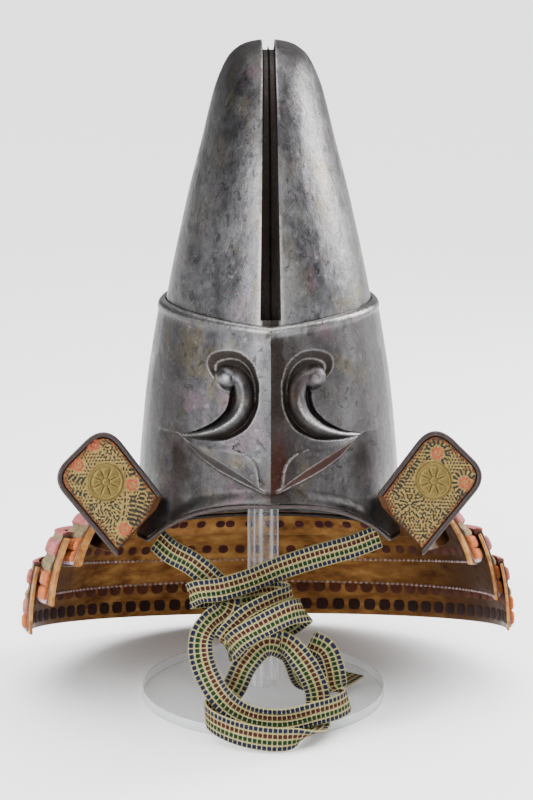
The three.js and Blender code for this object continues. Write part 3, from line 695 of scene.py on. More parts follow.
def crown(material):
    """The grooved crown, made hollow by its own inner skin."""
    skins = []
    for name, inset, start, ridge, flare in (
        ("crown", 0, GROOVE_FOOT, 3.5, 0.8),
        ("crown_inside", CROWN_WALL, 363.5, 0.5, 0.1),
    ):
        skins.append(crown_skin(name, inset, material))
        cut(skins[-1], groove_tool(start, inset, ridge, flare, material))
    piece, inside = skins
    cut(piece, inside)
    mesh = piece.data
    mesh.polygons.foreach_set("use_smooth", [True] * len(mesh.polygons))
    mesh.set_sharp_from_angle(angle=math.radians(32))
    places = np.zeros(len(mesh.vertices) * 3)
    mesh.vertices.foreach_get("co", places)
    x, _, z = (places.reshape(-1, 3) / MM).T
    # Darker towards the top, partly grime and partly painted shade, less on the +x side where the light
    # falls; the groove's floor is painted dark as shade and its lips get painted highlights.
    top_dirt_and_shade = 0.62 * np.clip((z - 548) / 26, 0, 1) + 0.12 * np.clip((z - 470) / 70, 0, 1)
    top_dirt_and_shade *= np.where(x < HELMET_X, 1, 0.55)
    from_groove = np.abs(x - HELMET_X) - groove_half(z)
    dirt_and_shade = np.where(from_groove < -0.2, 0.97, top_dirt_and_shade)
    rub_and_highlight = np.where((from_groove > 0.2) & (from_groove < 1.2), 0.4, 0)
    paint(mesh, "wear", np.stack([dirt_and_shade, 0 * x, rub_and_highlight], -1))
    dress(piece, "lacquered_iron", "cap")


# Brow band


def rim_height(turns):
    """Height of the band's lower edge: it falls backwards and arches over the face."""
    degrees = np.abs(np.degrees((turns + math.pi) % (2 * math.pi) - math.pi))
    arch = 42 * np.clip(1 - (np.minimum(degrees, 66) / 66) ** 2.2, 0, 1) ** 1.2
    y = section(BAND[0], turns)[..., 1]
    return 159 - 0.145 * (y + 40) + arch


# Crest line of a scroll on the viewer's right: x, z, reach of the hollow inwards and outwards, height, depth
SCROLL = [
    (36, 315, 9, 24, 3.2, 4.6), (30, 317.5, 10, 23.5, 3.4, 5.0), (25, 313, 11, 17, 3.7, 5.2),
    (22.6, 304, 12.5, 13.3, 3.8, 5.2), (23.5, 295, 12.5, 13, 3.8, 5.2), (29.7, 283.4, 10, 13.5, 3.8, 5.2),
    (43, 272.3, 6.5, 11.5, 3.4, 4.6), (57, 265, 4, 6.5, 2.6, 3.4), (68, 260.8, 2.4, 3, 1.4, 1.8),
    (77, 258.5, 1.2, 1.4, 0.4, 0.8),
]
SCROLL = np.array(SCROLL)
SCROLL_FOOT = 9.0  # from the crest line out to the bottom of the hollow
EYE = (37.0, 316.5, 9.6)  # the ball in the scroll: x, z, radius
EYE_HEIGHT, EYE_SINK = 8.6, 2.6
# Lower edge of the leaves under the scrolls, where the brow steps back: x, z
STEP_LINE = np.array(
    [(0, 220.5), (8, 222), (16, 225), (30, 230), (45, 235.5), (60, 243), (72, 252.5), (78, 259)]
)
# Crease of a leaf, above its lower edge
CREASE_LINE = np.array(
    [(0, 223), (8, 225), (16, 231), (30, 239), (45, 246), (60, 251.5), (72, 256), (78, 259)]
)
# Inner edge of a leaf, beside the keel: z, x
LEAF_INNER = np.array([(221, 8), (232, 8.5), (240, 9.5), (246, 11.5), (251, 15.5), (254.5, 21), (256, 30)])
STEP_DEPTH = 5.5
LEAF_HEIGHT = 3.0
KEEL_HEIGHT, KEEL_REACH = 1.4, 1.6


def scroll(x, z):
    """Height, grime with painted shade, and rubbed edges with painted highlights of the scroll, its eye and
    its hollow, at places beside the keel.
    """
    stations = np.arange(len(SCROLL))
    line = centripetal(np.column_stack([SCROLL[:, :2], 0 * stations]), 8)[0][:, :2]
    place = np.linspace(0, len(SCROLL) - 1, len(line))
    inward, outer, high, deep = (np.interp(place, stations, column) for column in SCROLL.T[2:])
    ahead = unit(np.gradient(line, axis=0))
    dx, dz = x[:, None] - line[:, 0], z[:, None] - line[:, 1]
    k = np.argmin(np.hypot(dx, dz), 1)
    nearest = np.arange(len(k)), k
    dx, dz = dx[nearest], dz[nearest]
    d = np.hypot(dx, dz)
    side = ahead[k, 0] * dz - ahead[k, 1] * dx
    upwards = dz / np.maximum(d, 0.1)
    behind = k == 0  # round the eye the hollow fades out downwards
    reach = np.where(side > 0, inward[k], outer[k])
    reach = np.where(behind, 10 + 14 * smooth((upwards + 0.3) / 1.3), reach)
    bottom = deep[k] * np.where(behind, 0.35 + 0.65 * smooth((upwards + 0.3) / 0.7), 1)
    place = place[k]
    r = d / reach
    foot = np.minimum(SCROLL_FOOT, 0.76 * reach)
    fall = np.clip(d / foot, 0, 1)
    rise = smooth((d - foot) / (reach - foot))
    roundness = np.interp(place, [0, 3, 6], [2.4, 2.0, 0.9])
    form = np.where(d < foot, high[k] - (high[k] + bottom) * fall**roundness, -bottom * (1 - rise))
    eye = np.hypot(x - EYE[0], z - EYE[1]) / EYE[2]
    ball = np.where(eye < 1, EYE_HEIGHT * np.sqrt(np.clip(1 - eye**2, 0, 1)) - EYE_SINK, -9)
    in_ball = ball > form
    height = np.where(r < 1, np.maximum(form, ball), 0)
    strength = np.clip(bottom / 4, 0, 1)
    # The hollow is darkened, partly grime and partly painted shade, most on its outer side and round the eye;
    # the ball darkens towards its rim as painted shade.
    valley = smooth((fall - 0.35) / 0.6) * (1 - smooth((r - 0.9) / 0.1))
    shade = 0.95 * smooth((fall - 0.25) / 0.4) * (1 - smooth((r - 0.94) / 0.06)) * ((side < 0) | behind)
    dirt_and_shade = np.where(in_ball, 0.7 * smooth((eye - 0.7) / 0.3), 0.95 * strength * np.maximum(valley, shade))
    # Painted highlights along the crest, on a line in the hollow, on the border and on the top of the ball.
    crest_line = hill(d / 1.2) * ~in_ball * smooth((place - 2.5) / 2.5)
    foot_line = 0.4 * hill((d - 0.66 * reach) / 0.7) * (side < 0) * (place < 5) * (upwards > -0.1)
    border = hill((d - reach) / 0.6) * (0.08 + 0.22 * (side < 0)) * strength
    rub_and_highlight = np.maximum(np.maximum(crest_line, foot_line), border)
    rub_and_highlight = np.where(in_ball, smooth((0.6 - eye) / 0.4) * 0.35, rub_and_highlight)
    return height, dirt_and_shade, np.where(r < 1.15, rub_and_highlight, 0)


def relief(x, z):
    """The embossing on the front of the brow: its height, and its grime with painted shade, red-brown, and
    rubbed edges with painted highlights.
    """
    ax = np.abs(x)
    near = (ax < 96) & (z > 240) & (z < BAND_TOP)
    height, dirt_and_shade, rub_and_highlight = np.zeros((3, *x.shape))
    height[near], dirt_and_shade[near], rub_and_highlight[near] = scroll(ax[near], z[near])
    low, crease = np.interp(ax, *STEP_LINE.T), np.interp(ax, *CREASE_LINE.T)
    inner = np.interp(z, *LEAF_INNER.T)
    leaf = smooth((ax - inner) / 1.6) * smooth((80 - ax) / 8) * smooth((z - crease) / 1.2)
    leaf *= smooth((264 - 0.06 * ax - z) / 9)
    height = np.where(height == 0, LEAF_HEIGHT * leaf, height)
    below = z < crease
    facet = np.clip((crease - z) / np.maximum(crease - low, 0.5), 0, 1)
    under = smooth((low - z) / 1.8)
    in_front = smooth((97 - ax) / 26)
    beside_keel = in_front * smooth((ax - 3) / 4)
    height -= in_front * below * STEP_DEPTH * (0.4 * facet + 0.6 * under)
    height += KEEL_HEIGHT * np.exp(-ax / KEEL_REACH) * smooth((z - 219) / 4) * smooth((352 - z) / 8)
    # Painted shade: a dark strip just on the +x side of the keel, the +x face darker towards the keel, both
    # far sides darker, and a dark crescent beside the wings.
    right = smooth((x + 0.3) / 0.6)
    ragged = 1.2 * np.sin(z / 6.3) + 0.8 * np.sin(z / 2.3 + 1)
    strip = right * smooth((14 + ragged - ax) / 4)
    right_side_shade = 0.5 * smooth((80 - ax) / 30) + 0.3 * smooth((34 - ax) / 20)
    flank_shade = 0.55 * smooth((ax - 62) / 16) * (0.5 + 0.5 * smooth((106 - ax) / 9))
    crescent_shade = smooth((ax - 62 - 2 * ragged) / 17) * smooth((90 - ax) / 7) * smooth((266 - z) / 22)
    crescent_shade *= np.where(x < 0, 0.9, 0.75) + 0.08 * np.sin(z / 9)
    # Grime and painted shade: the scroll's hollows, the sunk step's facet beside the keel, a painted shadow
    # under the leaves' lower edge, the painted shade above, and darker towards the bottom.
    stains_and_shade = [
        dirt_and_shade,
        0.75 * beside_keel * below * smooth(facet / 0.3) * (1 - under),
        0.9 * in_front * under * np.exp(-np.clip(low - z - 1, 0, 99) / 4.5),
        0.97 * strip * smooth((z - 245) / 45) * smooth((353 - z) / 3),
        right * right_side_shade * smooth((358 - z) / 10),
        flank_shade * smooth((z - 200) / 30),
        0.42 * smooth((268 - z) / 45) * smooth((100 - ax) / 10),
        crescent_shade,
    ]
    # Red-brown show-through along the painted shade strip and on the sunk facets, on the +x side only.
    brown = strip * smooth((290 - z) / 45) * smooth((z - 218) / 3)
    brown = np.maximum(brown, 0.8 * right * below * (1 - under) * beside_keel)
    # Painted highlights along the leaves' crease, lower edge and inner edge.
    lines = hill((z - crease) / 0.9) + hill((z - low - 0.3) / 0.8)
    lines += hill((ax - inner - 1.2) / 0.9) * (z > crease) * (z < 256)
    rub_and_highlight = np.maximum(rub_and_highlight, 0.5 * beside_keel * np.clip(lines, 0, 1) * (ax < 80))
    return height, np.stack([np.max(stains_and_shade, axis=0), brown, rub_and_highlight], -1)


# The band's rolled upper edge and inner face: height and offset
LIP = [(350, 0), (353.5, 0), (355, 0.3), (356.5, 0.8), (358, 1.2), (359.5, 1.3), (361, 0.9), (362, 0.2)]
LIP += [(362.8, -1.2), (363.4, -3), (363.4, -4.6), (362, -5.1), (352, -5.1), (346, -4)]
LIP += [(340, -3), (300, -3), (260, -3)]
BAND_TOP = 348  # the outer face follows the relief up to here
INNER_TOP = 260  # and the inner face runs down from here
BAND_WALL = 3
BAND_ROWS = 215
FRONT_REACH, FRONT_STEP = 94, 0.62  # fine columns in front: out to either side, and their pitch
FRONT_RADIUS = 108
BACK_COLUMNS = 90


def band_point(turns, z, out):
    p = section(rows_at(BAND, z), turns, out)
    p[..., 2] = z + SEAM_SLOPE * p[..., 1] * np.clip((z - 290) / 50, 0, 1)
    return p


def brow_band(material):
    """The embossed band: up its outer face, over the rolled edge and down inside."""
    front = np.arcsin(np.arange(-FRONT_REACH, FRONT_REACH + 0.1, FRONT_STEP) / FRONT_RADIUS)
    back = np.linspace(front[-1], 2 * math.pi + front[0], BACK_COLUMNS + 2)[1:-1]
    turns = np.concatenate([front, back])
    low = rim_height(turns)
    z = low + (BAND_TOP - low) * np.linspace(0, 1, BAND_ROWS)[:, None]
    plain = band_point(turns, z, 0.0)
    lift, wear = relief(plain[..., 0], z)
    in_front = plain[..., 1] < -20
    # The sunk ground comes back out to the rolled edge, and the wall's inner face stays below it
    lift = np.where(lift < 0, lift * smooth((z - low) / 12), lift) * in_front
    wear *= in_front[..., None]
    deepest = np.minimum(lift, 0).min(0)
    rings = [*band_point(turns, z, lift)]
    rings += [band_point(turns, height, out + (height <= 340) * deepest) for height, out in LIP]
    steps = (0.75, 0.5, 0.25, 0.1, 0.03, 0)
    for rise in [(INNER_TOP - low) * step for step in steps]:
        rings.append(band_point(turns, low + rise, deepest * smooth((rise + 2) / 8) - BAND_WALL))
    lip_wear = np.zeros((len(LIP), len(turns), 3))
    lip_wear[:3] = wear[-1] * np.array([1, 0.9, 0.6])[:, None, None]
    # Painted highlights along the top of the rolled edge.
    lip_wear[5:8, :, 2] = 0.3
    lip_wear[8:12, :, 2] = 0.6
    # The inner face is painted darker all over.
    inner_wear = np.zeros((len(steps), len(turns), 3)) + (0.5, 0, 0)
    wear = np.concatenate([wear, lip_wear, inner_wear]).reshape(-1, 3)
    body = through(rings, closed=True)
    add_piece("brow_band_embossed", body, "lacquered_iron", ["brow_band"], material, 50, wear=wear)


RIM_COLUMNS = 300
RIM_RADIUS = 1.95
RIM_DROP = 2.7  # its middle below the band's edge


def brow_rim(material):
    """Dark rolled edge round the opening for the head."""
    turns = evenly_round(RIM_COLUMNS)
    low = rim_height(turns)
    edge = section(rows_at(BAND, low), turns, -BAND_WALL / 2)
    edge[..., 2] = low
    along = unit(np.roll(edge, -1, 0) - np.roll(edge, 1, 0))
    out = unit(np.stack([along[:, 1], -along[:, 0], 0 * low], -1))
    up = unit(np.cross(out, along))
    up *= np.sign(up[:, 2:3])
    body = sweep(edge - up * RIM_DROP, out, up, circle(RIM_RADIUS, TUBE_SIDES), closed=True)
    add_piece("brow_rim_rolled", body, "dark_edge", ["brow_rim"], material)


# Neck guard. An edge is a section's seven values, and its fall backwards and forwards
LAMES = {
    "lame_1": (
        (185.4, 118.8, -126.7, 128.7, 5, 1.38, 0.58, 0.278, 0.278),
        (145.2, 162, -141, 142, 5, 2, 0.5, 0.276, 0.16),
    ),
    "lame_2": (
        (172, 163, -134, 152, 8, 2, 0.5, 0.293, 0.293),
        (122, 190, -134, 163, 8, 2, 0.5, 0.293, 0.293),
    ),
    "lame_3": (
        (150.9, 190, -162, 169, 10, 2, 0.5, 0.235, 0.235),
        (88.9, 207, -162, 177, 10, 2, 0.5, 0.235, 0.235),
    ),
    "lame_4": (
        (122.4, 210, -180, 185, 10, 2, 0.5, 0.26, 0.26),
        (59.4, 218, -180, 191, 10, 2, 0.5, 0.26, 0.26),
    ),
}
LAME_BULGE = {"lame_1": 7, "lame_2": 3.5, "lame_3": 3, "lame_4": 2}
LAME_ENDS = {"lame_1": (-15, 15), "lame_2": (-14.7, 13.7), "lame_3": (-13.9, 12.2), "lame_4": (-12.7, 12)}
LAME_THICKNESS = 2.4


def edge_point(edge, columns):
    z, *_, fall_back, fall_front = edge
    p = section(np.array(edge[:7], float), math.pi - 2 * math.pi * columns / COLUMNS)
    p[..., 2] = z - np.where(p[..., 1] > 0, fall_back, fall_front) * p[..., 1]
    return p


def lame_point(lame, columns, down):
    """Points on a plate's outer face: columns from the back, down from 0 at its top to 1."""
    columns, down = np.broadcast_arrays(np.asarray(columns, float), np.asarray(down, float))
    top, bottom = LAMES[lame]
    d = down[..., None]
    p = edge_point(top, columns) * (1 - d) + edge_point(bottom, columns) * d
    out = p - (0, top[4], 0)
    out[..., 2] = 0
    return p + unit(out) * LAME_BULGE[lame] * 4 * d * (1 - d)


def lame_lifted(lame, columns, down, lift):
    """The same points moved off the plate by lift."""
    columns, down = np.broadcast_arrays(np.asarray(columns, float), np.asarray(down, float))
    across = lame_point(lame, columns + 0.1, down) - lame_point(lame, columns - 0.1, down)
    along = lame_point(lame, columns, down + 0.02) - lame_point(lame, columns, down - 0.02)
    normal = unit(np.cross(across, along))
    p = lame_point(lame, columns, down)
    out = normal[..., 0] * p[..., 0] + normal[..., 1] * (p[..., 1] - LAMES[lame][0][4])
    normal = normal * np.where(out < 0, -1, 1)[..., None]
    return p + normal * np.asarray(lift, float)[..., None]


# A plate's section: down and lift, with eased edges
EASE = 0.5
FACE = [0.012, *np.linspace(0.1, 0.9, 9), 0.99]
PLATE_SECTION = [(down, 0) for down in FACE] + [(1, -EASE), (1, EASE - LAME_THICKNESS)]
PLATE_SECTION += [(down, -LAME_THICKNESS) for down in FACE[::-1]] + [(0, EASE - LAME_THICKNESS), (0, -EASE)]
PLATE_SECTION = np.array(PLATE_SECTION)

WING_CORNERS = [(97, 193, 3), (92, 203, 5), (141, 266, 22), (188, 222, 20), (133, 156.5, 3)]
WING_SWEEP = 0.118
WING_LEAN = 0.3
WING_PLACE = (95, -62, 203)
CREST_PLACE = (140.5, 216)
LEATHER_MIDDLE = np.array([138.0, 211.0])
LEATHER_INSET = (4.9, 1.4)  # from the free sides and from the folded side
PRINT_INSET = (5.8, 2.6)
FOLD_START, FOLD_RUN = (97.5, 197), 37  # where a wing's fold begins, and how far down and out it goes
SIDES = {-1: "right", 1: "left"}


def wing_normal(side):
    return unit(np.array([-WING_SWEEP * side, -1, WING_LEAN]))


def on_wing(side, points, lift):
    """Places on a wing from x outwards and z, lifted off its middle plane."""
    x, z = points[..., 0] * side, points[..., 1]
    y = WING_PLACE[1] - WING_SWEEP * (x * side - WING_PLACE[0]) + WING_LEAN * (z - WING_PLACE[2])
    return np.stack([x, y, z + 0 * x], -1) + wing_normal(side) * np.asarray(lift, float)[..., None]


def wing_outline(free, fold, steps=10):
    """A wing's outline with its free sides moved in by one distance and the folded side by another."""
    corners = np.array(WING_CORNERS, float)
    q, radii = corners[:, :2], corners[:, 2]
    v = unit(np.roll(q, -1, 0) - q)
    q = q + np.stack([v[:, 1], -v[:, 0]], -1) * np.array([[free]] * 4 + [[fold]])
    p, u = np.roll(q, 1, 0), np.roll(v, 1, 0)
    t = np.cross(q - p, v) / np.cross(u, v)
    corners = p + u * t[:, None]
    points = []
    for before, at, after, radius in zip(np.roll(corners, 1, 0), corners, np.roll(corners, -1, 0), radii):
        a, b = unit(before - at), unit(after - at)
        reach = min(max(1.0, radius - free) / math.tan(math.acos(a @ b) / 2), 26)
        for t in np.linspace(0, 1, steps + 1):
            points.append((at + a * reach) * (1 - t) ** 2 + at * 2 * t * (1 - t) + (at + b * reach) * t**2)
    return np.array(points)


def slab(side, levels):
    """A flat body on a wing from outlines at rising lifts: (free inset, fold inset, lift)."""
    return through([on_wing(side, wing_outline(free, fold), lift) for free, fold, lift in levels])


def plate(lame, material):
    """One plate of the neck guard. The top plate runs on to the folds of its two wings."""
    first, last = LAME_ENDS[lame]
    down, lift = PLATE_SECTION.T
    columns = np.linspace(first, last, int((last - first) * 9))
    rings = lame_lifted(lame, columns[:, None], down, lift)
    # Painted shade on the inner face: darker towards the plates' ends, more on the +x side.
    plate_shade = np.where(columns > 0, 0.92 * smooth((columns - 2) / 7), 0.88 * smooth((-columns - 4) / 7))
    wings = []
    if lame == "lame_1":
        t = np.linspace(0, 1, 9)[1:, None, None]
        for side, end in ((-1, rings[0]), (1, rings[-1])):
            fold = on_wing(side, FOLD_START + down[:, None] * (FOLD_RUN, -FOLD_RUN), 0)
            fold += np.array([side * 0.75, 0, 0.6]) * lift[:, None]
            way = end * (1 - t) + fold * t
            rings = np.concatenate([rings, way] if side > 0 else [way[::-1], rings])
            wings.append(slab(side, [(0.5, 0, -1.2), (0, 0, -0.8), (0, 0, 0.8), (0.5, 0, 1.2)]))
        # The folds into the wings are painted dark as shade.
        plate_shade = np.pad(plate_shade, len(t), constant_values=0.95)
        outer_plate_shade = np.full(len(plate_shade), 0.93)
    else:
        from_end = np.minimum(columns - first, last - columns)
        plate_shade *= smooth(from_end / 0.3)
        outer_plate_shade = 0.93 * smooth((from_end - 0.3) / 0.4)
    points, faces = joined([through(rings), *wings])
    # Faces under the lacing and the wings' backs are painted dark as shade.
    plate_shade = np.where(lift > -1, outer_plate_shade[:, None], plate_shade[:, None]).ravel()
    wear = np.zeros((len(points), 3))
    wear[:, 0] = np.pad(plate_shade, (0, len(points) - len(plate_shade)), constant_values=0.93)
    add_piece("plate_" + lame[-1], (points, faces), "gold_lacquer", [lame], material, 42, wear=wear)


PINK = np.array([0.57, 0.165, 0.15])
ORANGE = np.array([0.66, 0.175, 0.045])
CREAM = np.array([0.46, 0.35, 0.17])
LAVENDER = np.array([0.55, 0.4, 0.46])
SMOKE = np.array([0.085, 0.06, 0.045])

# Bands of the lacing down a plate: from, to, height, kind
LACING_BANDS = [
    (0.0, 0.07, 1.7, "stripe"),
    (0.07, 0.28, 4.3, "pink"),
    (0.28, 0.38, 1.6, "stripe"),
    (0.38, 0.5, 3.4, "knot"),
    (0.5, 0.72, 4.5, "orange"),
    (0.72, 0.935, 4.5, "orange"),
    (0.935, 0.975, 2.4, "tip"),
]
STATIONS = {"stripe": 4, "pink": 9, "knot": 7, "orange": 9, "tip": 4}  # rows of points to a band
STRIP = 6.0  # width of one silk strip
STRIP_PHASES = np.array([0, 0.11, 0.28, 0.5, 0.72, 0.89])
LACING_INSET = 0.45  # from a plate's ends, in columns
SILK_THICKNESS = 4.5


def lacing(lame, above, has_lacing_above, reach, material):
    """The silk lacing over one plate: strips side by side, bulging in lobes, with a row of cross knots."""
    first, last = LAME_ENDS[lame]
    fine = np.linspace(first + LACING_INSET, last - LACING_INSET, 400)
    run = lengths_along(lame_point(lame, fine, 0.5))
    count = round(run[-1] / STRIP)
    places = np.append((np.arange(count)[:, None] + STRIP_PHASES).ravel(), count)
    columns = np.interp(places / count * run[-1], run, fine)
    phase = places % 1
    strip = np.minimum(places.astype(int), count - 1)
    rounded_strip = np.sin(math.pi * phase) ** 0.5
    thirds = np.abs(np.sin(3 * math.pi * phase))
    shade = 1 + 0.16 * (RANDOM.random(count + 1)[strip] - 0.5)
    chances = RANDOM.random((len(LACING_BANDS), count + 1))[:, strip]
    rows, tints = [], []
    for (low, high, height, kind), chance in zip(LACING_BANDS, chances):
        for g in np.linspace(0, 1, STATIONS[kind])[: None if kind == "tip" else -1]:
            lobe = (1 - abs(2 * g - 1) ** 3.2) ** 0.5
            if kind == "stripe":
                lift = height * (0.45 + 0.4 * thirds)
                tint = np.where((thirds > 0.6)[:, None], CREAM * 0.8, SMOKE)
            elif kind == "knot":
                cross = np.maximum(hill((phase - g) / 0.17), hill((phase + g - 1) / 0.17))
                lift = 1.2 + (height - 1.2) * cross * (0.4 + 0.6 * lobe)
                tint = SMOKE * 0.8 + (CREAM - SMOKE * 0.8) * cross[:, None]
            elif kind == "tip":
                lift = 1.0 + (height - 1.0) * rounded_strip * (1 - g) ** 0.6
                tint = LAVENDER + 0 * phase[:, None]
            else:
                wobble = 1 + 0.22 * (chance - 0.5)
                lift = 0.9 + (height - 0.9) * rounded_strip * (0.3 + 0.7 * lobe) * wobble
                base = PINK if kind == "pink" else ORANGE
                # Darker towards each strip's edges and its lobes' ends: painted shade of their rounding.
                tint = base * (0.45 + 0.55 * (rounded_strip * (0.35 + 0.65 * lobe))[:, None])
                tint = np.where((chance > 0.86)[:, None], tint * 0.7 + LAVENDER * 0.25, tint)
            rows.append(lame_lifted(lame, columns, low + (high - low) * g, GAP + lift))
            tints.append(tint * shade[:, None])
    land = SILK_THICKNESS + 3 * GAP if has_lacing_above else GAP + 0.1
    over = lame_lifted(lame, columns, 0.0, 0.9 + 0.9 * rounded_strip) + (0, 0, 3.0)
    inward = lame_lifted(above, columns, reach, land + 0.2 + 0.8 * rounded_strip)
    between = (over + inward) / 2 + (0, 0, 0.8)
    under = [
        *(lame_lifted(lame, columns, down, GAP) for down in (0.97, 0.5, -0.012)),
        lame_lifted(lame, columns, 0.0, -LAME_THICKNESS - GAP) + (0, 0, GAP),
        lame_lifted(above, columns, reach + 0.1, land),
    ]
    body = through(np.stack([inward, between, over, *rows, *under], 1))
    # The wrap over the top edge is painted darker towards each strip's edges, as shade of its rounding; the
    # hidden underside is painted the dark smoke colour as shade.
    wrap = PINK * (0.5 + 0.5 * rounded_strip[:, None]) * shade[:, None]
    dark = np.broadcast_to(SMOKE, wrap.shape)
    tint = np.stack([wrap, wrap, wrap, *tints, *[dark] * len(under)], 1).reshape(-1, 3)
    node = lame.replace("lame", "lacing")
    add_piece("silk_" + lame[-1], body, "silk_lacing", [node], material, 50, tint=tint)


DOME = ((1, -0.2), (0.97, 0.35), (0.8, 0.75), (0.45, 0.97), (0.02, 1))  # size and rise of its rings


def domes(lame, places, tint):
    """Small bosses on a plate's inner face: column, down, half width, half height, squareness, height."""
    c, s = circle(1, TUBE_SIDES).T
    bodies, tints = [], []
    for column, down, half_width, half_height, square, height in places:
        beside = lame_point(lame, column + 0.05, down) - lame_point(lame, column - 0.05, down)
        below = lame_point(lame, column, down + 0.01) - lame_point(lame, column, down - 0.01)
        reach = np.maximum(np.abs(c), np.abs(s)) ** -square
        a = c * reach * half_width / (np.linalg.norm(beside) * 10)
        b = s * reach * half_height / (np.linalg.norm(below) * 50)
        rings = [
            lame_lifted(lame, column + a * size, down + b * size, -LAME_THICKNESS - rise * height)
            for size, rise in DOME
        ]
        bodies.append(through(rings))
        shade = 0.75 + 0.5 * RANDOM.random()
        tints.append(np.tile(np.array(tint) * shade, (len(bodies[-1][0]), 1)))
    return *joined(bodies), np.concatenate(tints)


def inner_knots(material):
    """Cord ends that show on the inner face of the plates."""
    upper = []
    for k in range(-12, 13):
        middle = k * 1.09 + 0.35
        for column in (middle,) if k % 2 else (middle - 0.2, middle + 0.24):
            upper.append((column, 0.745 + 0.006 * math.sin(k * 7), 4.6, 3.9, 0.2, 0.7))
    second = [(c, 0.78 + 0.006 * math.sin(c * 9), 5.0, 4.5, 0.2, 0.7) for c in np.arange(-14.2, 13.2, 0.63)]
    third = [(c, 0.545, 6.7, 6.3, 0.15, 1.3) for c in np.arange(-12.3, 11.7, 0.54)]
    lower = [(c, 0.83, 6.2, 6.0, 0.6, 0.9) for c in np.arange(-12.2, 11.7, 0.54)]
    groups = [
        ("lame_1", upper, (0.09, 0.022, 0.022)),
        ("lame_2", second, (0.1, 0.025, 0.018)),
        ("lame_4", third, (0.12, 0.03, 0.012)),
        ("lame_4", lower, (0.032, 0.009, 0.006)),
    ]
    for lame, pitch in (("lame_2", 0.21), ("lame_3", 0.2)):
        first, last = LAME_ENDS[lame]
        tips = [(c, 0.985, 1.5, 1.3, 0, 1.5) for c in np.arange(first + 0.4, last - 0.3, pitch)]
        groups.append((lame, tips, (0.5, 0.36, 0.36)))
    made = [domes(*group) for group in groups]
    body = joined([(points, faces) for points, faces, _ in made])
    tint = np.concatenate([tints for _, _, tints in made])
    add_piece("inner_knots", body, "silk_lacing", [], material, 50, tint=tint)


def wing_rim(side, material):
    """The raised dark rim round a wing's free sides."""
    centres = on_wing(side, wing_outline(2.0, -2, 12)[19:-6], 3.0)
    along = unit(np.gradient(centres, axis=0))
    up = np.broadcast_to(wing_normal(side), along.shape)
    body = sweep(centres, unit(np.cross(along, up)), up, circle(2.1, TUBE_SIDES, 0.74))
    add_piece(f"wing_rim_{side}", body, "dark_edge", ["wing_rim_" + SIDES[side]], material)


# The leather's rings: size, lift and how worn
LEATHER_RINGS = [(1.0, 1.5, 1), (1.0, 2.5, 1), (0.99, 2.7, 1)]
LEATHER_RINGS += [(0.9, 2.7, 0.5), (0.78, 2.7, 0.12), (0.6, 2.7, 0)]


def leather_sheet(side, material):
    outline = wing_outline(*LEATHER_INSET) - LEATHER_MIDDLE
    body = through([on_wing(side, LEATHER_MIDDLE + outline * size, lift) for size, lift, _ in LEATHER_RINGS])
    wear = np.repeat([worn for _, _, worn in LEATHER_RINGS], len(outline))[:, None]
    add_piece(f"leather_{side}", body, "printed_leather", ["leather_" + SIDES[side]], material, 40, wear=wear)


INK = (0.014, 0.016, 0.013)
ROSE = (0.24, 0.045, 0.026)
DASH = np.array([(-1, -0.6), (-0.8, -1), (0.8, -1), (1, -0.6), (1, 0.6), (0.8, 1), (-0.8, 1), (-1, 0.6)])
PRINT_LIFT = 2.78


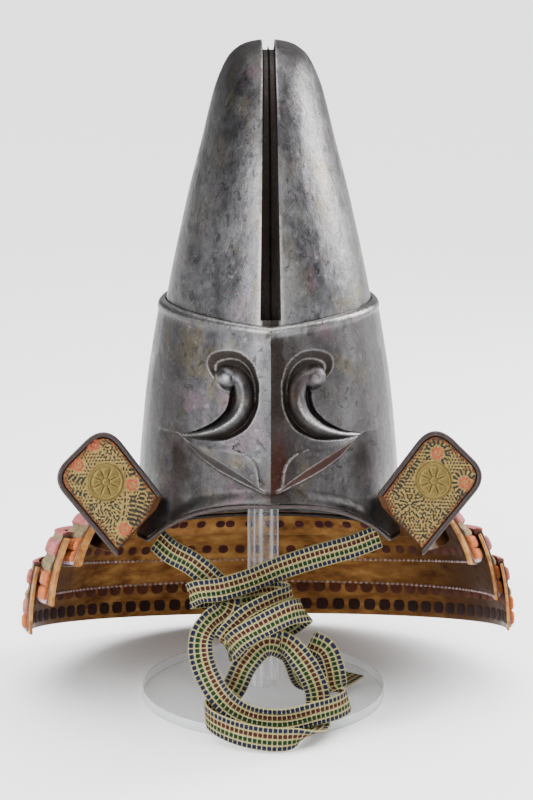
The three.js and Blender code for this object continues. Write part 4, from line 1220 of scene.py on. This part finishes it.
class Print:
    """Dashes and dabs printed on one wing's leather, none over another, over the boss or over the edge."""

    def __init__(self, side):
        self.side = side
        self.outline = wing_outline(*PRINT_INSET, 6)
        self.taken = [(*CREST_PLACE, 15.8)]
        self.dashes, self.tints = [], []

    def free(self, x, z, room):
        a, b = self.outline, np.roll(self.outline, -1, 0)
        turn = (b[:, 0] - a[:, 0]) * (z - a[:, 1]) - (b[:, 1] - a[:, 1]) * (x - a[:, 0])
        if (turn > 1e-6).any() and (turn < -1e-6).any():
            return False
        return all(math.hypot(x - tx, z - tz) > tr + room for tx, tz, tr in self.taken)

    def dash(self, x, z, angle, length, width, tint, room=None):
        """A hand-cut dash, kept only where there is room."""
        room = min(length, width) * 0.5 + 0.15 if room is None else room
        if room > 0 and not self.free(x, z, room):
            return
        self.taken.append((x, z, max(width, length * 0.35) * 0.5))
        c, s = math.cos(angle), math.sin(angle)
        jitter = RANDOM.random(3) * 0.3 + 0.85
        u, v = (DASH * (length / 2, width / 2) * jitter[:2]).T
        flat = np.stack([x + c * u - s * v, z + s * u + c * v], -1)
        self.dashes.append((on_wing(self.side, flat, PRINT_LIFT), [list(range(len(DASH)))]))
        self.tints.append(np.tile(np.array(tint) * jitter[2], (len(DASH), 1)))

    def ring(self, x, z, radius, angles, turn, length, width, tint, **given):
        for a in angles:
            at = x + radius * math.cos(a), z + radius * math.sin(a)
            self.dash(*at, a + turn, length, width, tint, **given)

    def flower(self, x, z, radius=3.9):
        if not self.free(x, z, radius * 0.6):
            return
        self.ring(x, z, radius, evenly_round(8) + 0.3, math.pi / 2, 2.7, 2.5, ROSE, room=0)
        self.ring(x, z, 1.3, evenly_round(5), 0, 1.3, 1.0, ROSE, room=0)
        self.taken.append((x, z, radius + 1.8))

    def row(self, line, pitch, length, width, lean=0.0):
        """Dashes set across a curved line."""
        line = np.array([(*p, 0) for p in line], float)
        places, along = centripetal(line, 12)
        run = lengths_along(places)
        for s in np.arange(pitch / 2, run[-1], pitch):
            x, z = (np.interp(s, run, places[:, i]) for i in (0, 1))
            ax, az = (np.interp(s, run, along[:, i]) for i in (0, 1))
            self.dash(x, z, math.atan2(az, ax) + math.pi / 2 + lean, length, width, INK)

    def swirl(self, x, z, radii, pitch, length, width, turn=0.0):
        """Rings of dashes round a point, as in a coiled fern."""
        for radius in radii:
            angles = evenly_round(max(4, int(2 * math.pi * radius / pitch))) + radius
            self.ring(x, z, radius, angles, turn, length, width, INK)

    def fill(self, pitch, length, width):
        """Small dashes over what is left, turned by a slow swirl."""
        for i, z in enumerate(np.arange(150, 270, pitch)):
            for x in np.arange(85, 195, pitch) + (i % 2) * pitch / 2:
                angle = 2.2 * math.sin(x / 17) + 1.7 * math.cos(z / 13)
                self.dash(x, z, angle, length, width, INK, room=0.85)

    def finish(self, material):
        tint = np.concatenate(self.tints)
        add_piece(f"print_{self.side}", joined(self.dashes), "printed_leather", [], material, 40, tint=tint)


def leather_print(side, material):
    """A made-up fern and blossom print in the manner of old stencilled leather."""
    p = Print(side)
    if side < 0:
        for place in ((164, 230.5), (118, 213), (149, 180), (124.5, 177), (151, 247)):
            p.flower(*place)
        p.row([(118.5, 231), (117, 205), (120, 185), (129, 164)], 3.7, 5.2, 2.3)
        p.row([(110.5, 222), (109.5, 205), (113.5, 190), (124, 168)], 3.7, 5.0, 2.3)
        p.row([(103.5, 214), (102.5, 204), (106.5, 193), (118, 174)], 3.5, 4.0, 2.1)
        p.row([(125.5, 229), (124, 200), (127, 182), (133, 165)], 5.2, 1.4, 3.6)
        p.row([(172, 222), (164, 218.5), (156.5, 217)], 3.7, 6.0, 2.2, 0.35)
        p.row([(173, 212), (165, 208), (158, 206)], 3.5, 3.6, 2.0)
        p.row([(153, 203), (152, 188), (148, 176)], 3.6, 3.4, 2.0)
        p.row([(158, 244), (167, 239), (176, 231)], 3.7, 4.2, 2.0)
        p.swirl(140, 190, (3.4, 7.2, 11.0), 3.5, 3.0, 1.4, 0.9)
        p.row([(136, 180), (142, 175), (148, 169)], 3.4, 3.2, 1.8)
        p.swirl(136, 246, (3.2, 6.8, 10.4), 3.4, 2.5, 1.4, 0.2)
        p.fill(2.7, 2.0, 1.2)
    else:
        for place in ((144, 239), (167, 215)):
            p.flower(*place)
        p.row([(98, 208), (110, 223), (122, 238), (134, 253)], 3.4, 7.5, 1.9, 0.15)
        p.row([(106, 205), (117, 218), (128, 232)], 3.6, 4.6, 2.2, 0.2)
        p.swirl(144, 239, (8.6,), 3.6, 4.4, 1.9)
        p.swirl(167, 215, (8.6,), 3.6, 4.4, 1.9)
        p.swirl(120, 196, (3.6, 7.6, 11.6), 3.6, 3.2, 1.5, 0.15)
        p.swirl(138, 185, (3.4, 7.2, 11), 3.6, 3.0, 1.4, 0.9)
        p.row([(137, 165), (148, 177), (160, 189), (172, 201)], 3.5, 5.0, 1.9, -0.2)
        p.row([(131, 169), (143, 181), (154, 193)], 3.6, 4.0, 2.0, 0.3)
        p.row([(158, 201), (168, 206), (178, 214)], 3.5, 3.6, 2.0)
        p.row([(127, 166), (117, 177), (107, 187)], 3.4, 3.6, 1.7, 0.3)
        p.fill(2.7, 2.2, 1.25)
    p.finish(material)


CREST_FOOT = 2.6  # lift of its underside
CREST_PLATE = 1.6
CREST_DOME = 3.3, 1.4  # radius and height
CREST_RADII = [0.8, 1.6, 2.4, 3, 3.4, 4.2, 5.4, 6.8, 8.2, 9.6]
CREST_RADII += [10.8, 11.8, 12.5, 13, 13.5, 14, 14.5, 14.9, 15.2]


def crest(side, material):
    """A plain brass boss with eight soft petals round a small dome."""
    r, a = np.array(CREST_RADII)[:, None], evenly_round(96)
    petal = np.abs(np.cos(4 * a)) ** 0.55 * 1.1 - 0.25 * hill(np.sin(8 * a) / 0.25)
    dome_radius, dome_height = CREST_DOME
    dome = dome_height * np.sqrt(np.clip(1 - (r / dome_radius) ** 2, 0, 1))
    petals = petal * smooth((r - 3.2) / 1.5) * smooth((12.4 - r) / 2)
    height = CREST_PLATE + np.where(r < dome_radius, dome, petals)
    height += np.interp(r, [12.4, 13, 13.8, 14.6, 15.0, 15.2], [0, 0.7, 1.1, 0.8, 0.2, -0.6])
    flat = np.stack([CREST_PLACE[0] + r * np.cos(a), CREST_PLACE[1] + r * np.sin(a)], -1)
    rings = [*on_wing(side, flat, CREST_FOOT + height), on_wing(side, flat[-1], CREST_FOOT)]
    tip = on_wing(side, np.array(CREST_PLACE), CREST_FOOT + CREST_PLATE + dome_height)
    body = through(rings, first=tip)
    add_piece(f"crest_{side}", body, "brass", ["crest_" + SIDES[side]], material, 50)


# Display stand

ROD_GLINTS = [16, 58, 98, 147, 203, 236, 262, 305, 340]  # painted highlights down the rod, in degrees round it


def turned(name, profile, sides, material, node, centre=(0, 0)):
    """A closed turned body from (radius, z) pairs that start and end on the axis."""
    radius, z = np.array(profile, float).T[..., None]
    t = evenly_round(sides)
    rings = np.stack([radius * np.cos(t), radius * np.sin(t), z + 0 * t], -1)[1:-1]
    body = through(rings, first=(0, 0, profile[0][1]), last=(0, 0, profile[-1][1]))
    wear = np.zeros((len(body[0]), 3))
    if name == "post_rod":
        wear[:, 1] = 1
        apart = np.abs((t[:, None] - np.radians(ROD_GLINTS) + math.pi) % (2 * math.pi) - math.pi)
        wear[:-2, 0] = np.tile(0.7 * hill(apart / 0.11).sum(1), len(rings))
    else:
        wear[:, 1] = 0.35
        # The disc's rim is painted as a lit edge: a painted highlight.
        wear[sides : (len(rings) - 1) * sides] = (1, 0.4, 0)
    add_piece(name, body, "clear_acrylic", [node], material, 35, at=(*centre, 0), wear=wear)


def rounded(radius, low, high, edge):
    """A cylinder's profile with its edges eased."""
    corner = [(edge * (1 - math.cos(a)), edge * (1 - math.sin(a))) for a in np.linspace(0, math.pi / 2, 5)]
    lower = [(radius - dr, low + dz) for dr, dz in corner][::-1]
    upper = [(radius - dr, high - dz) for dr, dz in corner]
    inner = radius - 2.5 * edge
    return [(0, low), (inner, low), *lower, *upper, (inner, high), (0, high)]


def stand(material):
    turned("base_disc", rounded(110, 0, 9, 0.9), 160, material, "stand_base")
    turned("post_rod", rounded(14, 9.3, 406.7, 0.6), 64, material, "stand_post")
    turned("inner_plate", rounded(74.8, 407, 415, 0.8), 120, material, "stand_plate", (HELMET_X, 10))


# Room: places and sizes in metres

LIGHTS = [  # name, place, target, size, power
    ("side_left", (-1.55, -1.1, 0.85), (0, 0, 0.4), (1.2, 1.2), 48),
    ("side_right", (1.6, 0.8, 1.0), (0, 0, 0.35), (0.4, 1.2), 62),
    ("front_right", (1.45, -1.25, 0.95), (0, 0, 0.4), (1.1, 1.2), 18),
    ("front", (-1.2, -1.9, 1.5), (0, 0, 0.25), (0.5, 1.0), 10),
]
FLOOR_REACH = 30


def add_light(name, kind, power):
    data = bpy.data.lights.new(name, kind)
    data.energy = power
    light = bpy.data.objects.new(name, data)
    bpy.context.scene.collection.objects.link(light)
    return light


def add_room():
    paper = Nodes("floor")
    paper.surface(Base_Color=grey(0.95), Roughness=0.7)
    mesh = bpy.data.meshes.new("floor")
    corners = [(x * FLOOR_REACH, y * FLOOR_REACH, 0) for x, y in ((-1, -1), (1, -1), (1, 1), (-1, 1))]
    mesh.from_pydata(corners, [], [(0, 1, 2, 3)])
    mesh.materials.append(paper.material)
    floor = bpy.data.objects.new("floor", mesh)
    bpy.context.scene.collection.objects.link(floor)
    world = bpy.data.worlds.new("studio")
    bpy.context.scene.world = world
    world.use_nodes = True
    background = world.node_tree.nodes["Background"]
    background.inputs[0].default_value = (*grey(0.5), 1)
    background.inputs[1].default_value = 0.6
    add_light("sky", "SUN", 7.5).data.angle = math.radians(80)
    for name, place, target, size, power in LIGHTS:
        light = add_light(name, "AREA", power)
        light.data.shape = "RECTANGLE"
        light.data.size, light.data.size_y = size
        light.location = place
        light.rotation_mode = "QUATERNION"
        light.rotation_quaternion = (Vector(target) - Vector(place)).to_track_quat("-Z", "Y")


add_camera()
braid = chin_braid()
strap("chin_braid_from_left", STRAND_FROM_LEFT, "chin_cord_left", braid)
strap("chin_braid_from_right", STRAND_FROM_RIGHT, "chin_cord_right", braid)
iron = lacquered_iron()
dark = dark_edge()
crown(iron)
brow_band(iron)
brow_rim(dark)
gold = gold_lacquer()
thread = silk()
for lame_name in LAMES:
    plate(lame_name, gold)
lacing("lame_2", "lame_1", False, 0.5, thread)
lacing("lame_3", "lame_2", True, 0.42, thread)
lacing("lame_4", "lame_3", True, 0.42, thread)
inner_knots(thread)
hide = leather()
dye = ink()
boss = brass()
for wing_side in (-1, 1):
    wing_rim(wing_side, dark)
    leather_sheet(wing_side, hide)
    leather_print(wing_side, dye)
    crest(wing_side, boss)
stand(acrylic())
add_room()
